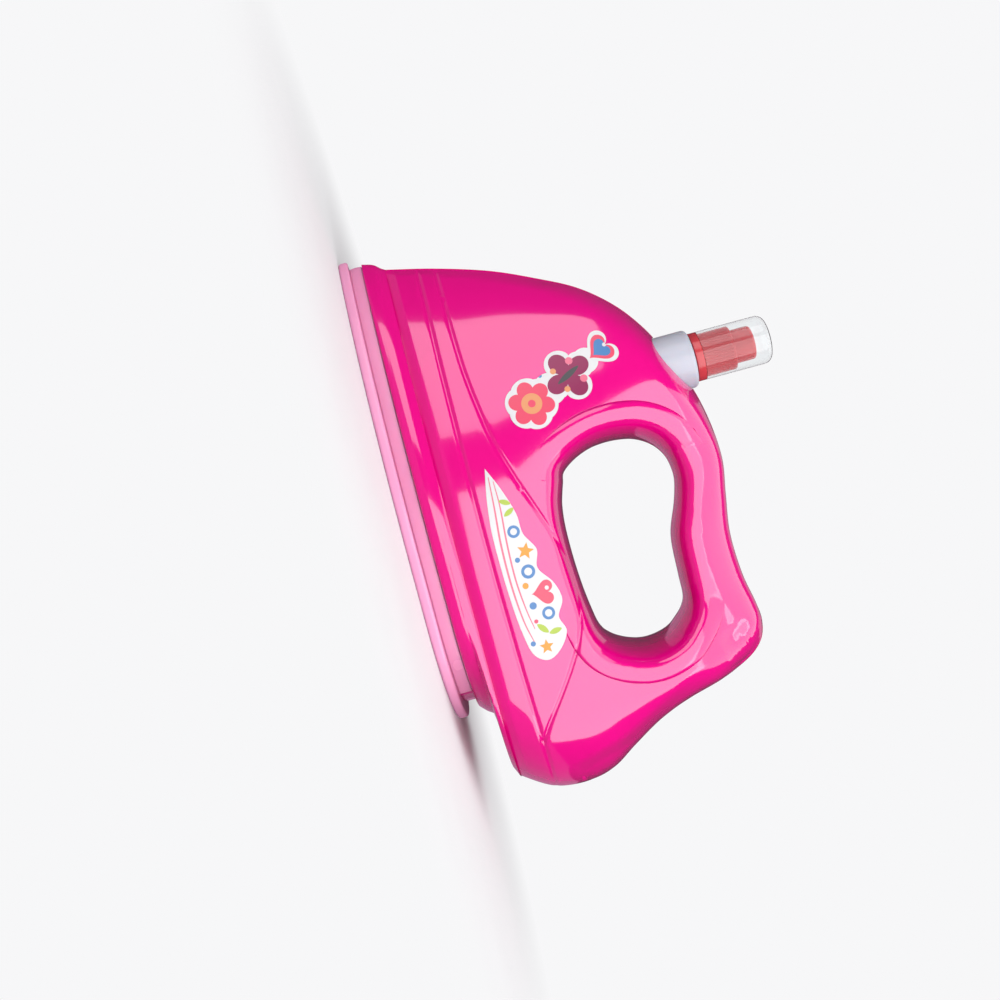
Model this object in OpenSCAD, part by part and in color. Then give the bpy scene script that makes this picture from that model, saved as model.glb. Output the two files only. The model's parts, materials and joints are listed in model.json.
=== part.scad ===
/* [Body shells] */
// Length of the body along its foot, from the nose to the heel
foot_l = 214; // [200:1:230]
// Height of the handle's top above the table
body_h = 131.5; // [126:0.5:140]
// Width of the body at its waist
waist_w = 92; // [86:1:98]
// Thickness of the moulded body walls
wall = 2.2; // [1.8:0.1:2.6]
// Length of the hand hole
hole_l = 82; // [78:1:86]
// Height of the hand hole
hole_h = 49; // [45:1:51]
// Width of the rounded lip round the hand hole
lip_w = 14; // [11:0.5:16]
// How far that lip stands out of the sides at both ends of the hole
lip_rise = 1.4; // [0:0.1:1.8]
// Width in which the hand hole's wall rises most of its way
wall_reach = 7.5; // [6:0.5:10]
// Radius that rounds the top of the handle and the crest
crown_r = 14; // [11:0.5:17]

/* [Base] */
// Thickness of the sole plate
sole_t = 4; // [3.2:0.1:5]
// Width of the sole plate
sole_w = 98; // [94:1:104]
// Length of the sole plate
sole_l = 192; // [188:1:200]
// Height of the light ring
light_h = 5.4; // [4.5:0.1:7]
// Height of the skirt above the light ring
skirt_h = 8.6; // [7.6:0.1:11]
// Thickness of the base housing's floor
floor_t = 2.4; // [1.8:0.1:3]

/* [Battery bay] */
// Diameter of one cell
cell_d = 14.2; // [13.5:0.1:14.5]
// Length of one cell
cell_l = 50.2; // [49:0.1:50.5]
// Room for the contact springs at one end of the cells
spring_room = 5.2; // [4.8:0.1:7]
// Thickness of the battery door
door_t = 2; // [1.6:0.1:2.4]

/* [Water bottle] */
// Diameter of the water bottle
bottle_d = 24; // [22:0.5:25]
// Length of the bottle from its base to its shoulder
bottle_l = 80; // [74:1:84]
// Wall of the bottle
bottle_wall = 1; // [0.7:0.05:1.2]
// Outer diameter of the bottle's neck
neck_d = 14.4; // [13:0.2:15]

/* [Sprayer] */
// Diameter of the clear cap and of the collar's flange
cap_d = 20; // [19:0.2:22]
// Wall of the clear cap
cap_wall = 0.8; // [0.6:0.05:1]
// Height of the clear cap
cap_h = 28.6; // [27:0.2:32]
// Diameter of the spray head
head_d = 14; // [13:0.2:15]
// Height of the spray head
head_h = 10; // [9:0.2:11]
// Travel of the spray head
press = 4.5; // [3:0.1:5]
// Outer diameter of the pump barrel
barrel_d = 8.4; // [8:0.1:9]
// Outer diameter of the dip tube
dip_d = 3; // [2.6:0.1:3.2]
// Wire of the pump's return spring
pump_wire = 0.7; // [0.5:0.05:0.8]

/* [Fasteners] */
// Diameter of the self-tapping screws
screw_d = 2.5; // [2.2:0.1:3]
// Diameter of their heads
screw_head_d = 5.2; // [4.6:0.1:5.6]
// Height of their heads
screw_head_h = 2; // [1.6:0.1:2.4]
// How far a screw bites into its boss
bite = 8; // [6:0.5:9]

/* [Electrics] */
// Diameter of the speaker
speaker_d = 28; // [24:1:30]
// Wire of the battery springs
spring_wire = 0.8; // [0.6:0.05:0.9]
// Thickness of the circuit board
board_t = 1.6; // [1:0.1:2]
// Diameter of the light-emitting diodes
led_d = 3; // [2.6:0.1:3.4]
// Travel of the power switch
switch_travel = 4; // [3:0.5:4.5]

/* [Hidden] */
// Overrun of every cut past the face that it opens
cut = 1;
// Running gap of pieces that move past each other
run_gap = 0.3;
// Gap of a shaft or screw in its bore
bore_gap = 0.05;
// Seating gap of pieces that lie against each other
seat_gap = 0.1;
round_fn = 64;

// Heights
light_z = sole_t;
skirt_z = light_z + light_h;
seat_z = skirt_z + skirt_h;
rise = body_h - seat_z;
floor_z = light_z + floor_t;

// Places along the iron, from the middle of its whole length
sole_x = -115;
shell_x = -108;
hole_x = 25;
hole_z = 86;
bottle_x = -40;
bottle_z = 50;

pink = [0.95, 0.13, 0.55];
pale_pink = [0.97, 0.62, 0.78];
light_pink = [0.85, 0.45, 0.65];
coral = [0.92, 0.30, 0.34];

// General helpers
function wrap(i, n) = (i % n + n) % n;
function mix(a, b, t) = a + (b - a) * t;
function unit(v) = v / norm(v);
function smooth(s) = let(c = min(1, max(0, s))) c * c * (3 - 2 * c);
function flipped(faces) = [for (f = faces) [for (i = [len(f) - 1:-1:0]) f[i]]];
// A share that rises from 0 to 1 as a rounded edge does: a circle's arc at a power of a half
function ease(s, p) = s <= 0 ? 0 : s >= 1 ? 1 : pow(1 - (1 - s) * (1 - s), p);
function spline(a, b, c, d, t) =
    (2 * b + (c - a) * t + (2 * a - 5 * b + 4 * c - d) * t * t + (3 * b - a - 3 * c + d) * t * t * t) / 2;

// Body shells
// One row for each spoke from the body's outline to the hand hole, from the nose's foot over the
// handle to the heel's foot: along and up the outline, then along and up the hole
crown_shares = [
    [0.000, 0.000, -0.409, -0.388],
    [0.023, 0.176, -0.457, -0.276],
    [0.054, 0.361, -0.490, -0.133],
    [0.091, 0.517, -0.500,  0.000],
    [0.130, 0.655, -0.497,  0.122],
    [0.181, 0.768, -0.482,  0.245],
    [0.239, 0.850, -0.451,  0.347],
    [0.303, 0.910, -0.409,  0.424],
    [0.374, 0.963, -0.354,  0.478],
    [0.448, 0.992, -0.293,  0.500],
    [0.519, 0.998, -0.226,  0.498],
    [0.585, 0.977, -0.122,  0.449],
    [0.659, 0.955,  0.037,  0.351],
    [0.738, 0.959,  0.232,  0.327],
    [0.799, 0.979,  0.341,  0.320],
    [0.837, 0.985,  0.396,  0.282],
    [0.873, 0.962,  0.439,  0.214],
    [0.901, 0.900,  0.476,  0.133],
    [0.923, 0.793,  0.496,  0.020],
    [0.942, 0.661,  0.499, -0.092],
    [0.967, 0.537,  0.482, -0.204],
    [1.002, 0.423,  0.451, -0.306],
    [1.031, 0.335,  0.412, -0.382],
    [1.042, 0.247,  0.378, -0.418],
    [1.035, 0.115,  0.348, -0.437],
    [1.000, 0.000,  0.317, -0.449],
];
// The same along the foot, from the heel back to the nose
foot_shares = [
    [0.901, 0, 0.232, -0.469],
    [0.792, 0, 0.146, -0.484],
    [0.677, 0, 0.037, -0.494],
    [0.563, 0, -0.073, -0.496],
    [0.448, 0, -0.171, -0.490],
    [0.333, 0, -0.256, -0.471],
    [0.219, 0, -0.311, -0.445],
    [0.104, 0, -0.362, -0.416],
];
spoke_shares = concat(crown_shares, foot_shares);
row_n = len(spoke_shares);
heel_row = len(crown_shares) - 1;
fan = 2;
spoke_n = row_n * fan;
heel_i = heel_row * fan;

function row(k) = spoke_shares[wrap(k, row_n)];
// The outline turns a sharp corner at the two feet, so no curve is carried past them
function is_corner(k) = wrap(k, row_n) == 0 || wrap(k, row_n) == heel_row;
function before(k) = is_corner(k) ? 2 * row(k) - row(k + 1) : row(k - 1);
function after(k) = is_corner(k) ? 2 * row(k) - row(k - 1) : row(k + 1);
function spoke(i) =
    let(k = floor(i / fan), t = i / fan - k,
        s = spline(before(k), row(k), row(k + 1), after(k + 1), t),
        h = spline(row(k - 1), row(k), row(k + 1), row(k + 2), t))
    [shell_x + s[0] * foot_l, seat_z + s[1] * rise, hole_x + h[2] * hole_l, hole_z + h[3] * hole_h];
spokes = [for (i = [0:spoke_n - 1]) spoke(i)];
outline = [for (s = spokes) [s[0], s[1]]];
hole_edge = [for (s = spokes) [s[2], s[3]]];
function is_foot(i) = i > heel_i;

// A closed outline moved inwards, or outwards where the distance is negative
function moved_in(loop, d) =
    [for (i = [0:len(loop) - 1])
        let(v = unit(loop[wrap(i + 1, len(loop))] - loop[wrap(i - 1, len(loop))]))
        loop[i] + d * [v[1], -v[0]]];
function inner_outline(d) =
    let(m = moved_in(outline, d), nose = outline[0][0] + d, heel = outline[heel_i][0] - d)
    [for (i = [0:spoke_n - 1])
        i == 0 ? [nose, seat_z]
        : i == heel_i ? [heel, seat_z]
        : is_foot(i) ? [mix(nose, heel, (outline[i][0] - outline[0][0]) / foot_l), seat_z]
        : m[i]];

// Share of the waist's half width that the body keeps at a share of its rise, first along the
// handle and then at the crest round the bottle
width_shares = [[0, 1], [0.1, 0.985], [0.25, 0.90], [0.4, 0.77], [0.55, 0.66], [0.7, 0.53],
    [0.8, 0.40], [0.88, 0.31], [1, 0.28]];
crest_shares = [[0, 1], [0.1, 0.985], [0.25, 0.90], [0.4, 0.78], [0.55, 0.67], [0.7, 0.55],
    [0.8, 0.47], [0.88, 0.43], [1, 0.38]];
// Share of the foot's length over which the nose and the heel round off, and how pointed the nose is
front_len_shares = [[0, 0.60], [0.25, 0.52], [0.5, 0.38], [0.7, 0.25], [0.85, 0.14], [1, 0.10]];
front_point_shares = [[0, 0.85], [0.4, 0.75], [0.8, 0.5], [1, 0.5]];
rear_len_shares = [[0, 0.19], [0.25, 0.16], [0.55, 0.08], [0.8, 0.06], [1, 0.06]];
// Where the crest's width gives way to the handle's, as shares of the foot's length
crest_from_share = 0.48;
crest_to_share = 0.34;
// Share by which the lip narrows at the foot of the hand hole
lip_foot_share = 0.4;
// Share of the hand hole's wall that rises within wall_reach, and how steeply it starts
wall_crisp_share = 0.75;
wall_power_share = 0.42;
// The lip stands out at the two ends of the hole: direction of each end's middle as seen from the
// middle of the hole, how far it reaches to each side, and the angle over which it fades
lip_ends = [[168, 44], [-10, 52]];
lip_fade = 22;
function lip_weight(h) =
    let(a = atan2(h[1] - hole_z, h[0] - hole_x))
    max([for (e = lip_ends) smooth((e[1] - abs(wrap(a - e[0] + 180, 360) - 180)) / lip_fade)]);

function crest_blend(x) =
    ease(min(1, max(0, ((x - shell_x) / foot_l - crest_from_share) / (crest_to_share - crest_from_share))), 1);
function half_width(x, q) = waist_w / 2 * mix(lookup(q, width_shares), lookup(q, crest_shares), crest_blend(x));
function front_ease(x, nose, q) = ease((x - nose) / (foot_l * lookup(q, front_len_shares)), lookup(q, front_point_shares));
function rear_ease(x, heel, q) = ease((heel - x) / (foot_l * lookup(q, rear_len_shares)), 0.5);

edge_steps = 4;
mid_steps = 3;
ring_n = 2 * edge_steps + mid_steps;
crown_span_share = 0.42;
foot_span_share = 0.3;
// Place of ring j between the outline and the hole, close together over both rounded edges
function ring_share(j, a, b) =
    j <= edge_steps ? a * (1 - cos(90 * j / edge_steps))
    : j >= edge_steps + mid_steps ? 1 - b * (1 - cos(90 * (ring_n - j) / edge_steps))
    : mix(a, 1 - b, (j - edge_steps) / mid_steps);

// The body's skin moved in by d, as rows of points from the outline to the hand hole
function skin(d) =
    let(o = inner_outline(d), h = moved_in(hole_edge, -d),
        nose_line = [for (i = [0:9 * fan]) [o[i][1], o[i][0]]],
        rear_line = [for (i = [heel_i:-1:15 * fan]) [o[i][1], o[i][0]]],
        top_line = [for (i = [0:17 * fan]) o[i]])
    [for (i = [0:spoke_n - 1])
        let(l = norm(h[i] - o[i]), foot = is_foot(i),
            lip = lip_w * (1 - lip_foot_share * pow(max(0, (hole_z - h[i][1]) / (hole_h / 2)), 2)),
            a = foot ? foot_span_share : crown_span_share, b = min(crown_span_share, lip / l))
        [for (j = [0:ring_n])
            let(t = ring_share(j, a, b), p = mix(o[i], h[i], t), x = p[0], z = p[1], q = (z - seat_z) / rise,
                front = front_ease(x, lookup(z, nose_line), q),
                rear = rear_ease(x, lookup(z, rear_line), q),
                top = foot && j == 0 ? 1 : ease((lookup(x, top_line) - z) / crown_r, 0.5),
                from_hole = (1 - t) * l / min(lip, l / 2),
                edge = mix(ease(from_hole, 0.5), ease((1 - t) * l / wall_reach, wall_power_share), wall_crisp_share),
                bead = lip_rise * lip_weight(h[i]) * pow(sin(180 * min(1, from_hole)), 2))
            [x, j == ring_n || (j == 0 && !foot) ? 0 : ((half_width(x, q) - d) * edge + bead) * front * rear * top, z]]];

// Triangles of a sheet of rows of m points that closes on itself, and of a strip between two loops
function sheet_faces(m, base) =
    [for (i = [0:spoke_n - 1]) for (j = [0:m - 2])
        let(a = base + i * m + j, b = base + wrap(i + 1, spoke_n) * m + j)
        each [[a + 1, a, b], [b + 1, a + 1, b]]];
function strip_faces(m, first, k, second) =
    [for (i = [0:spoke_n - 1])
        let(n = wrap(i + 1, spoke_n))
        each [[first + i * m, first + n * m, second + n * k], [first + i * m, second + n * k, second + i * k]]];
module half_shell() {
    m = ring_n + 1;
    base = spoke_n * m;
    polyhedron(concat([for (r = skin(0)) each r], [for (r = skin(wall)) each r]),
        concat(flipped(sheet_faces(m, 0)), sheet_faces(m, base), strip_faces(m, 0, m, base),
            flipped(strip_faces(m, ring_n, m, base + ring_n))));
}
// Everything inside the middle of the shell's wall, which trims its bosses and ribs
module half_core() {
    m = ring_n + 1;
    base = spoke_n * m;
    front = skin(wall / 2);
    back = [for (r = front) each [[r[0][0], -cut, r[0][2]], [r[ring_n][0], -cut, r[ring_n][2]]]];
    polyhedron(concat([for (r = front) each r], back),
        concat(flipped(sheet_faces(m, 0)), strip_faces(m, 0, 2, base), flipped(strip_faces(m, ring_n, 2, base + 1)),
            strip_faces(2, base, 2, base + 1)));
}

// Screws that join the shells, along and up
shell_screw_places = [
    for (s = [[0.094, 0.16], [0.187, 0.63], [0.439, 0.89], [0.86, 0.845], [0.972, 0.26], [0.48, 0.25]])
    [shell_x + s[0] * foot_l, seat_z + s[1] * rise]];
head_seat = 6;
boss_r = 3.2;
well_boss_wall = 1.5;
well_boss_r = screw_head_d / 2 + run_gap + well_boss_wall;

module along_y(p, r, from, to) {
    translate([p[0], from, p[1]]) rotate([-90, 0, 0]) cylinder(r = r, h = to - from, $fn = round_fn);
}
module upright(p, r, from, to) {
    translate([p[0], p[1], from]) cylinder(r = r, h = to - from, $fn = round_fn);
}

// The well's outer radius, and the two ribs of each shell that hold it
well_gap = 0.3;
well_wall = 1.3;
well_r = bottle_d / 2 + well_gap + well_wall;
rib_t = 1.8;
rib_zs = [bottle_z + bottle_l * 0.13, bottle_z + bottle_l * 0.6];
rib_reach = 30;
module well_ribs() {
    for (z = rib_zs)
        translate([bottle_x - rib_reach, 0, z]) cube([rib_reach + well_r - wall, waist_w / 2, rib_t]);
}
// Half of the body on the side where y is positive
module right_half(screw_boss_r) {
    difference() {
        union() {
            half_shell();
            intersection() {
                half_core();
                union() {
                    for (p = shell_screw_places) along_y(p, screw_boss_r, 0, waist_w / 2);
                    for (p = base_screw_places) if (p[1] > 0) upright(p, boss_r, seat_z + seat_gap, body_h);
                    well_ribs();
                }
            }
        }
        upright([bottle_x, 0], well_r + seat_gap, bottle_z, rib_zs[1] + rib_t + cut);
        upright([bottle_x, 0], bottle_d / 2 + run_gap, rib_zs[1], body_h);
        for (p = base_screw_places) if (p[1] > 0) upright(p, screw_d / 2 + bore_gap, seat_z - cut, seat_z + bite + cut);
    }
}
module right_shell() {
    color(pink) difference() {
        right_half(well_boss_r);
        for (p = shell_screw_places) {
            along_y(p, screw_d / 2 + run_gap, -cut, head_seat + cut);
            along_y(p, screw_head_d / 2 + run_gap, head_seat, waist_w / 2 + cut);
        }
    }
}
module left_shell() {
    color(pink) mirror([0, 1, 0]) difference() {
        right_half(boss_r);
        for (p = shell_screw_places) along_y(p, screw_d / 2 + bore_gap, -cut, bite + cut);
    }
}

// Base
// Half width of a boat-shaped outline at x
function boat_half(x, nose, heel, w) =
    w / 2 * ease((x - nose) / (foot_l * front_len_shares[0][1]), front_point_shares[0][1])
    * ease((heel - x) / (foot_l * rear_len_shares[0][1]), 0.5);
boat_steps = 28;
function boat(nose, heel, w) =
    let(xs = [for (i = [0:boat_steps]) mix(nose, heel, (1 - cos(180 * i / boat_steps)) / 2)])
    concat([for (i = [0:boat_steps]) [xs[i], -boat_half(xs[i], nose, heel, w)]],
        [for (i = [boat_steps - 1:-1:1]) [xs[i], boat_half(xs[i], nose, heel, w)]]);
// A solid through a list of outlines [nose, heel, width, height], from the lowest up
module boat_loft(levels) {
    loops = [for (v = levels) [for (p = boat(v[0], v[1], v[2])) [p[0], p[1], v[3]]]];
    n = len(loops[0]);
    m = len(loops);
    walls = [for (k = [0:m - 2]) for (i = [0:n - 1])
        let(a = k * n + i, b = k * n + wrap(i + 1, n))
        each [[a, a + n, b + n], [a, b + n, b]]];
    polyhedron([for (l = loops) each l],
        concat(walls, [[for (i = [0:n - 1]) i]], [[for (i = [n - 1:-1:0]) (m - 1) * n + i]]));
}
// The same outline drawn in at both ends and both sides, from one height to another
module slab(inset, from, to) {
    translate([0, 0, from]) linear_extrude(to - from)
        polygon(boat(sole_x + inset, sole_heel - inset, sole_w - 2 * inset));
}
module upright_box(x, l, w, from, to) {
    translate([x, -w / 2, from]) cube([l, w, to - from]);
}
sole_heel = sole_x + sole_l;
foot_heel = shell_x + foot_l;
skirt_inset = 2.6;
skirt_bulge = 1.8;
ring_inset = 3.2;
ring_t = 2.4;
plug_inset = ring_inset + ring_t + run_gap;
plug_wall = 2;
function plug_half(x) = boat_half(x, sole_x + plug_inset, sole_heel - plug_inset, sole_w - 2 * plug_inset);
// The skirt from the light ring up to the shells: share of its height, of the way from the sole's
// nose to the body's, of the way from the sole's heel to the body's, and of its bulge
skirt_shares = [
    [0.30, 0.15, 0.00, 1.0],
    [0.60, 0.40, 0.06, 1.0],
    [0.72, 0.60, 0.35, 0.7],
    [0.80, 0.75, 0.86, 0.4],
    [1.00, 1.00, 1.00, 0.0],
];
skirt_levels = concat(
    [[sole_x + skirt_inset, sole_heel - skirt_inset, sole_w - 2 * skirt_inset, skirt_z]],
    [for (s = skirt_shares)
        [mix(sole_x + skirt_inset, shell_x, s[1]), mix(sole_heel, foot_heel, s[2]),
            waist_w + 2 * s[3] * skirt_bulge, skirt_z + s[0] * skirt_h]]);

// Battery bay, open towards the door. Its rear end keeps its distance from the sole's heel.
bay_setback = 19.6;
bay_wall = 1.4;
bay_gap = 0.5;
bay_l = cell_l + spring_room;
bay_x = sole_heel - bay_setback - bay_l;
bay_w = 2 * cell_d + 3 * bay_gap;
cell_z = light_z + cell_d / 2 + 2 * bay_gap;
bay_top = cell_z + cell_d / 2 + bay_gap;
// Door, which tips open about the lower edge at its tongue
door_lip = 2.2;
door_rib = 1.2;
door_sunk = 1;
door_z = light_z - seat_gap - door_sunk - door_t;
door_top = light_z - seat_gap;
door_x = bay_x - door_lip;
door_w = bay_w + 2 * door_lip;
door_boss_gap = 0.4;
door_screw_x = bay_x + bay_l + bay_wall + boss_r + door_boss_gap;
door_l = door_screw_x + boss_r + door_rib / 2 - door_x;
door_bite = 4;
door_screw_gap = 0.5;
tongue_w = 12;
tongue_t = 1;
tongue_l = 2;
tongue_z = light_z + seat_gap;
tongue_swing_gap = 0.7;
// Power switch
switch_setback = 16;
switch_x = bay_x - switch_setback;
switch_l = 12;
switch_w = 6.6;
switch_h = 5;
knob_l = 4;
knob_w = 3.6;
knob_sunk = 1.3;
// Speaker, over its grille
speaker_setback = 32;
speaker_x = switch_x - speaker_setback;
speaker_rim_t = 1.2;
speaker_cone_h = 2.6;
magnet_d = 13;
magnet_h = 2.2;
speaker_wall = 1.2;
speaker_wall_h = 3;
grille_r = 1.1;
grille_pitch = 4.4;
// Lamps shine out through the housing's lower wall: one at the nose and one at each side
led_z = floor_z + led_d / 2 + seat_gap;
led_l = 5;
led_x_share = 0.5;
side_led_x = mix(sole_x, sole_heel, led_x_share);
side_led_y = plug_half(side_led_x);
nose_led_x = sole_x + plug_inset + led_d;
// Each lamp's place is where its lens meets the wall's outer face, which it points out of
led_places = [[nose_led_x, 0, 180], [side_led_x, side_led_y, 90], [side_led_x, -side_led_y, -90]];
module at_leds() {
    for (p = led_places) translate([p[0], p[1], led_z]) rotate([0, 0, p[2]]) rotate([0, 90, 0]) children();
}
// Screws that join the base to the shells: two before the speaker, and two between the door and
// the light ring
front_screw_share = 0.237;
front_screw_side_share = 0.48;
rear_screw_setback = 22;
front_screw_x = mix(sole_x, sole_heel, front_screw_share);
rear_screw_x = sole_heel - rear_screw_setback;
base_screw_places = [
    for (side = [-1, 1])
    each [[front_screw_x, side * front_screw_side_share * plug_half(front_screw_x)],
        [rear_screw_x, side * mix(door_w / 2, plug_half(rear_screw_x), 0.5)]]];
head_cover = 1.2;
base_head_z = light_z - head_cover;

module grille_holes(from, to) {
    upright([speaker_x, 0], grille_r, from, to);
    for (a = [0:60:300])
        upright([speaker_x + grille_pitch * cos(a), grille_pitch * sin(a)], grille_r, from, to);
}
module base_housing() {
    color(pink) difference() {
        union() {
            difference() {
                union() {
                    boat_loft(skirt_levels);
                    slab(plug_inset, light_z, skirt_z + cut);
                }
                slab(plug_inset + plug_wall, floor_z, seat_z + cut);
            }
            upright_box(bay_x - bay_wall, bay_l + 2 * bay_wall, bay_w + 2 * bay_wall, light_z, bay_top + bay_wall);
            for (p = base_screw_places) upright(p, boss_r, light_z, seat_z - seat_gap);
            upright([door_screw_x, 0], boss_r, light_z, light_z + door_bite + 2 * cut);
            upright([speaker_x, 0], speaker_d / 2 + run_gap + speaker_wall, light_z, floor_z + speaker_wall_h);
            board_posts();
        }
        upright_box(bay_x, bay_l, bay_w, light_z - cut, bay_top);
        upright_box(door_x - tongue_l - 2 * run_gap, door_lip + tongue_l + 2 * run_gap + cut,
            tongue_w + 2 * run_gap, light_z - cut, tongue_z + tongue_t + tongue_swing_gap);
        for (p = base_screw_places) upright(p, screw_d / 2 + run_gap, light_z - cut, seat_z + cut);
        upright([door_screw_x, 0], screw_d / 2 + door_screw_gap, light_z - cut, light_z + door_bite + cut);
        upright([speaker_x, 0], speaker_d / 2 + run_gap, floor_z, floor_z + speaker_wall_h + cut);
        grille_holes(light_z - cut, floor_z + cut);
        upright_box(switch_x - knob_l / 2 - run_gap, knob_l + switch_travel + 2 * run_gap,
            knob_w + 2 * run_gap, light_z - cut, floor_z + cut);
        at_leds() translate([0, 0, -plug_wall - led_l - cut])
            cylinder(d = led_d + 2 * seat_gap, h = plug_wall + led_l + led_d + 2 * cut, $fn = round_fn);
    }
}
ring_gap = 13;
module light_ring() {
    color(light_pink) difference() {
        slab(ring_inset, light_z, skirt_z);
        slab(ring_inset + ring_t, light_z - cut, skirt_z + cut);
        upright_box(sole_heel - ring_gap, ring_gap + cut, sole_w, light_z - cut, skirt_z + cut);
    }
}
sole_edge = 1.2;
module sole_plate() {
    color(pale_pink) difference() {
        boat_loft([
            [sole_x + sole_edge, sole_heel - sole_edge, sole_w - 2 * sole_edge, 0],
            [sole_x, sole_heel, sole_w, sole_edge],
            [sole_x, sole_heel, sole_w, sole_t - sole_edge / 2],
            [sole_x + sole_edge / 2, sole_heel - sole_edge / 2, sole_w - sole_edge, sole_t]]);
        upright_box(door_x - run_gap, door_l + 2 * run_gap, door_w + 2 * run_gap, -cut, sole_t + cut);
        for (p = base_screw_places) {
            upright(p, screw_d / 2 + run_gap, -cut, sole_t + cut);
            upright(p, screw_head_d / 2 + run_gap, -cut, base_head_z);
        }
        grille_holes(-cut, sole_t + cut);
        upright_box(switch_x - knob_l, 2 * knob_l + switch_travel, switch_w, -cut, sole_t + cut);
    }
}
module battery_door() {
    color(pale_pink) difference() {
        union() {
            upright_box(door_x, door_l, door_w, door_z, door_z + door_t);
            difference() {
                upright_box(door_x, door_l, door_w, door_z, door_top);
                upright_box(door_x + door_rib, door_l - 2 * door_rib, door_w - 2 * door_rib, door_z, light_z);
            }
            upright([door_screw_x, 0], boss_r, door_z, door_top);
            upright_box(bay_x + run_gap, door_rib, tongue_w, door_z, tongue_z + tongue_t);
            upright_box(door_x - run_gap - tongue_l, door_lip + tongue_l + 2 * run_gap + door_rib, tongue_w,
                tongue_z, tongue_z + tongue_t);
        }
        upright([door_screw_x, 0], screw_d / 2 + run_gap, -cut, light_z + cut);
        upright([door_screw_x, 0], screw_head_d / 2 + run_gap, -cut, door_z + screw_head_h);
    }
}
// A self-tapping screw that points up from its head's seat
slot_w_share = 0.11;
slot_l_share = 0.7;
module screw(l) {
    difference() {
        union() {
            translate([0, 0, -screw_head_h]) cylinder(d = screw_head_d, h = screw_head_h, $fn = round_fn);
            cylinder(d = screw_d, h = l, $fn = round_fn);
        }
        for (a = [0, 90]) rotate([0, 0, a])
            upright_box(-screw_head_d * slot_l_share / 2, screw_head_d * slot_l_share,
                screw_head_d * slot_w_share, -screw_head_h - cut, -screw_head_h / 2);
    }
}
module door_screw() {
    color("silver") translate([door_screw_x, 0, door_z + screw_head_h])
        screw(light_z + door_bite - door_z - screw_head_h);
}
module shell_screws() {
    color("silver") for (p = shell_screw_places)
        translate([p[0], head_seat, p[1]]) rotate([90, 0, 0]) screw(head_seat + bite);
}
module base_screws() {
    color("silver") for (p = base_screw_places)
        translate([p[0], p[1], base_head_z]) screw(seat_z + bite - base_head_z);
}

// Battery cells, side by side and turned opposite ways, with a plate and a spring for each
contact_t = 0.4;
contact_w = 10;
nub_d = 5.5;
nub_h = 1.2;
cell_start = contact_t + seat_gap;
spring_start = cell_start + cell_l + seat_gap;
// Each bay's length runs along its own Z axis, from the plate at the cell's nub to the spring
module at_bays() {
    for (i = [0, 1])
        translate([bay_x + bay_l / 2, (i - 0.5) * (cell_d + bay_gap), cell_z]) rotate([0, 0, 180 * i])
            rotate([0, 90, 0]) translate([0, 0, -bay_l / 2]) children();
}
module battery_cells() {
    color("dimgray") at_bays() translate([0, 0, cell_start]) {
        cylinder(d = nub_d, h = 2 * nub_h, $fn = round_fn);
        translate([0, 0, nub_h]) cylinder(d = cell_d, h = cell_l - nub_h, $fn = round_fn);
    }
}
module battery_contacts() {
    color("silver") at_bays() for (z = [0, bay_l - contact_t])
        translate([-contact_w / 2, -contact_w / 2, z]) cube([contact_w, contact_w, contact_t]);
}
// Springs, wound as one unbroken wire
curl_rings = 8;
wire_sides = 6;
// Middle of the wire after a share t of all its curls
function wire_point(r0, r1, h, curls, wire, t) =
    let(r = mix(r0, r1, t), a = 360 * curls * t)
    [r * cos(a), r * sin(a), mix(wire / 2, h - wire / 2, t)];
function wire_line(r0, r1, h, curls, wire) =
    [for (i = [0:curls * curl_rings]) wire_point(r0, r1, h, curls, wire, i / (curls * curl_rings))];
function least_gap(line, wire) =
    min([for (i = [0:len(line) - 1]) for (k = [i + curl_rings / 2:1:len(line) - 1]) norm(line[i] - line[k])]) - wire;
module spring(r0, r1, h, curls, wire) {
    line = wire_line(r0, r1, h, curls, wire);
    n = len(line);
    points = [for (i = [0:n - 1])
        let(along = unit(line[min(i + 1, n - 1)] - line[max(i - 1, 0)]),
            out = unit([line[i][0], line[i][1], 0]),
            up = unit(cross(along, out)),
            flat = cross(up, along))
        for (k = [0:wire_sides - 1])
            line[i] + wire / 2 * (cos(360 * k / wire_sides) * flat + sin(360 * k / wire_sides) * up)];
    walls = [for (i = [0:n - 2]) for (k = [0:wire_sides - 1])
        let(a = i * wire_sides + k, b = i * wire_sides + wrap(k + 1, wire_sides))
        each [[a, b + wire_sides, b], [a, a + wire_sides, b + wire_sides]]];
    polyhedron(points, concat(walls, [[for (k = [0:wire_sides - 1]) k]],
        [[for (k = [wire_sides - 1:-1:0]) (n - 1) * wire_sides + k]]));
}
battery_curls = 3;
battery_spring_r = 4.4;
battery_spring_tip_r = 2.2;
battery_spring_h = bay_l - contact_t - spring_start;
module battery_springs() {
    color("silver") at_bays() translate([0, 0, spring_start])
        spring(battery_spring_tip_r, battery_spring_r, battery_spring_h, battery_curls, spring_wire);
}

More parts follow.
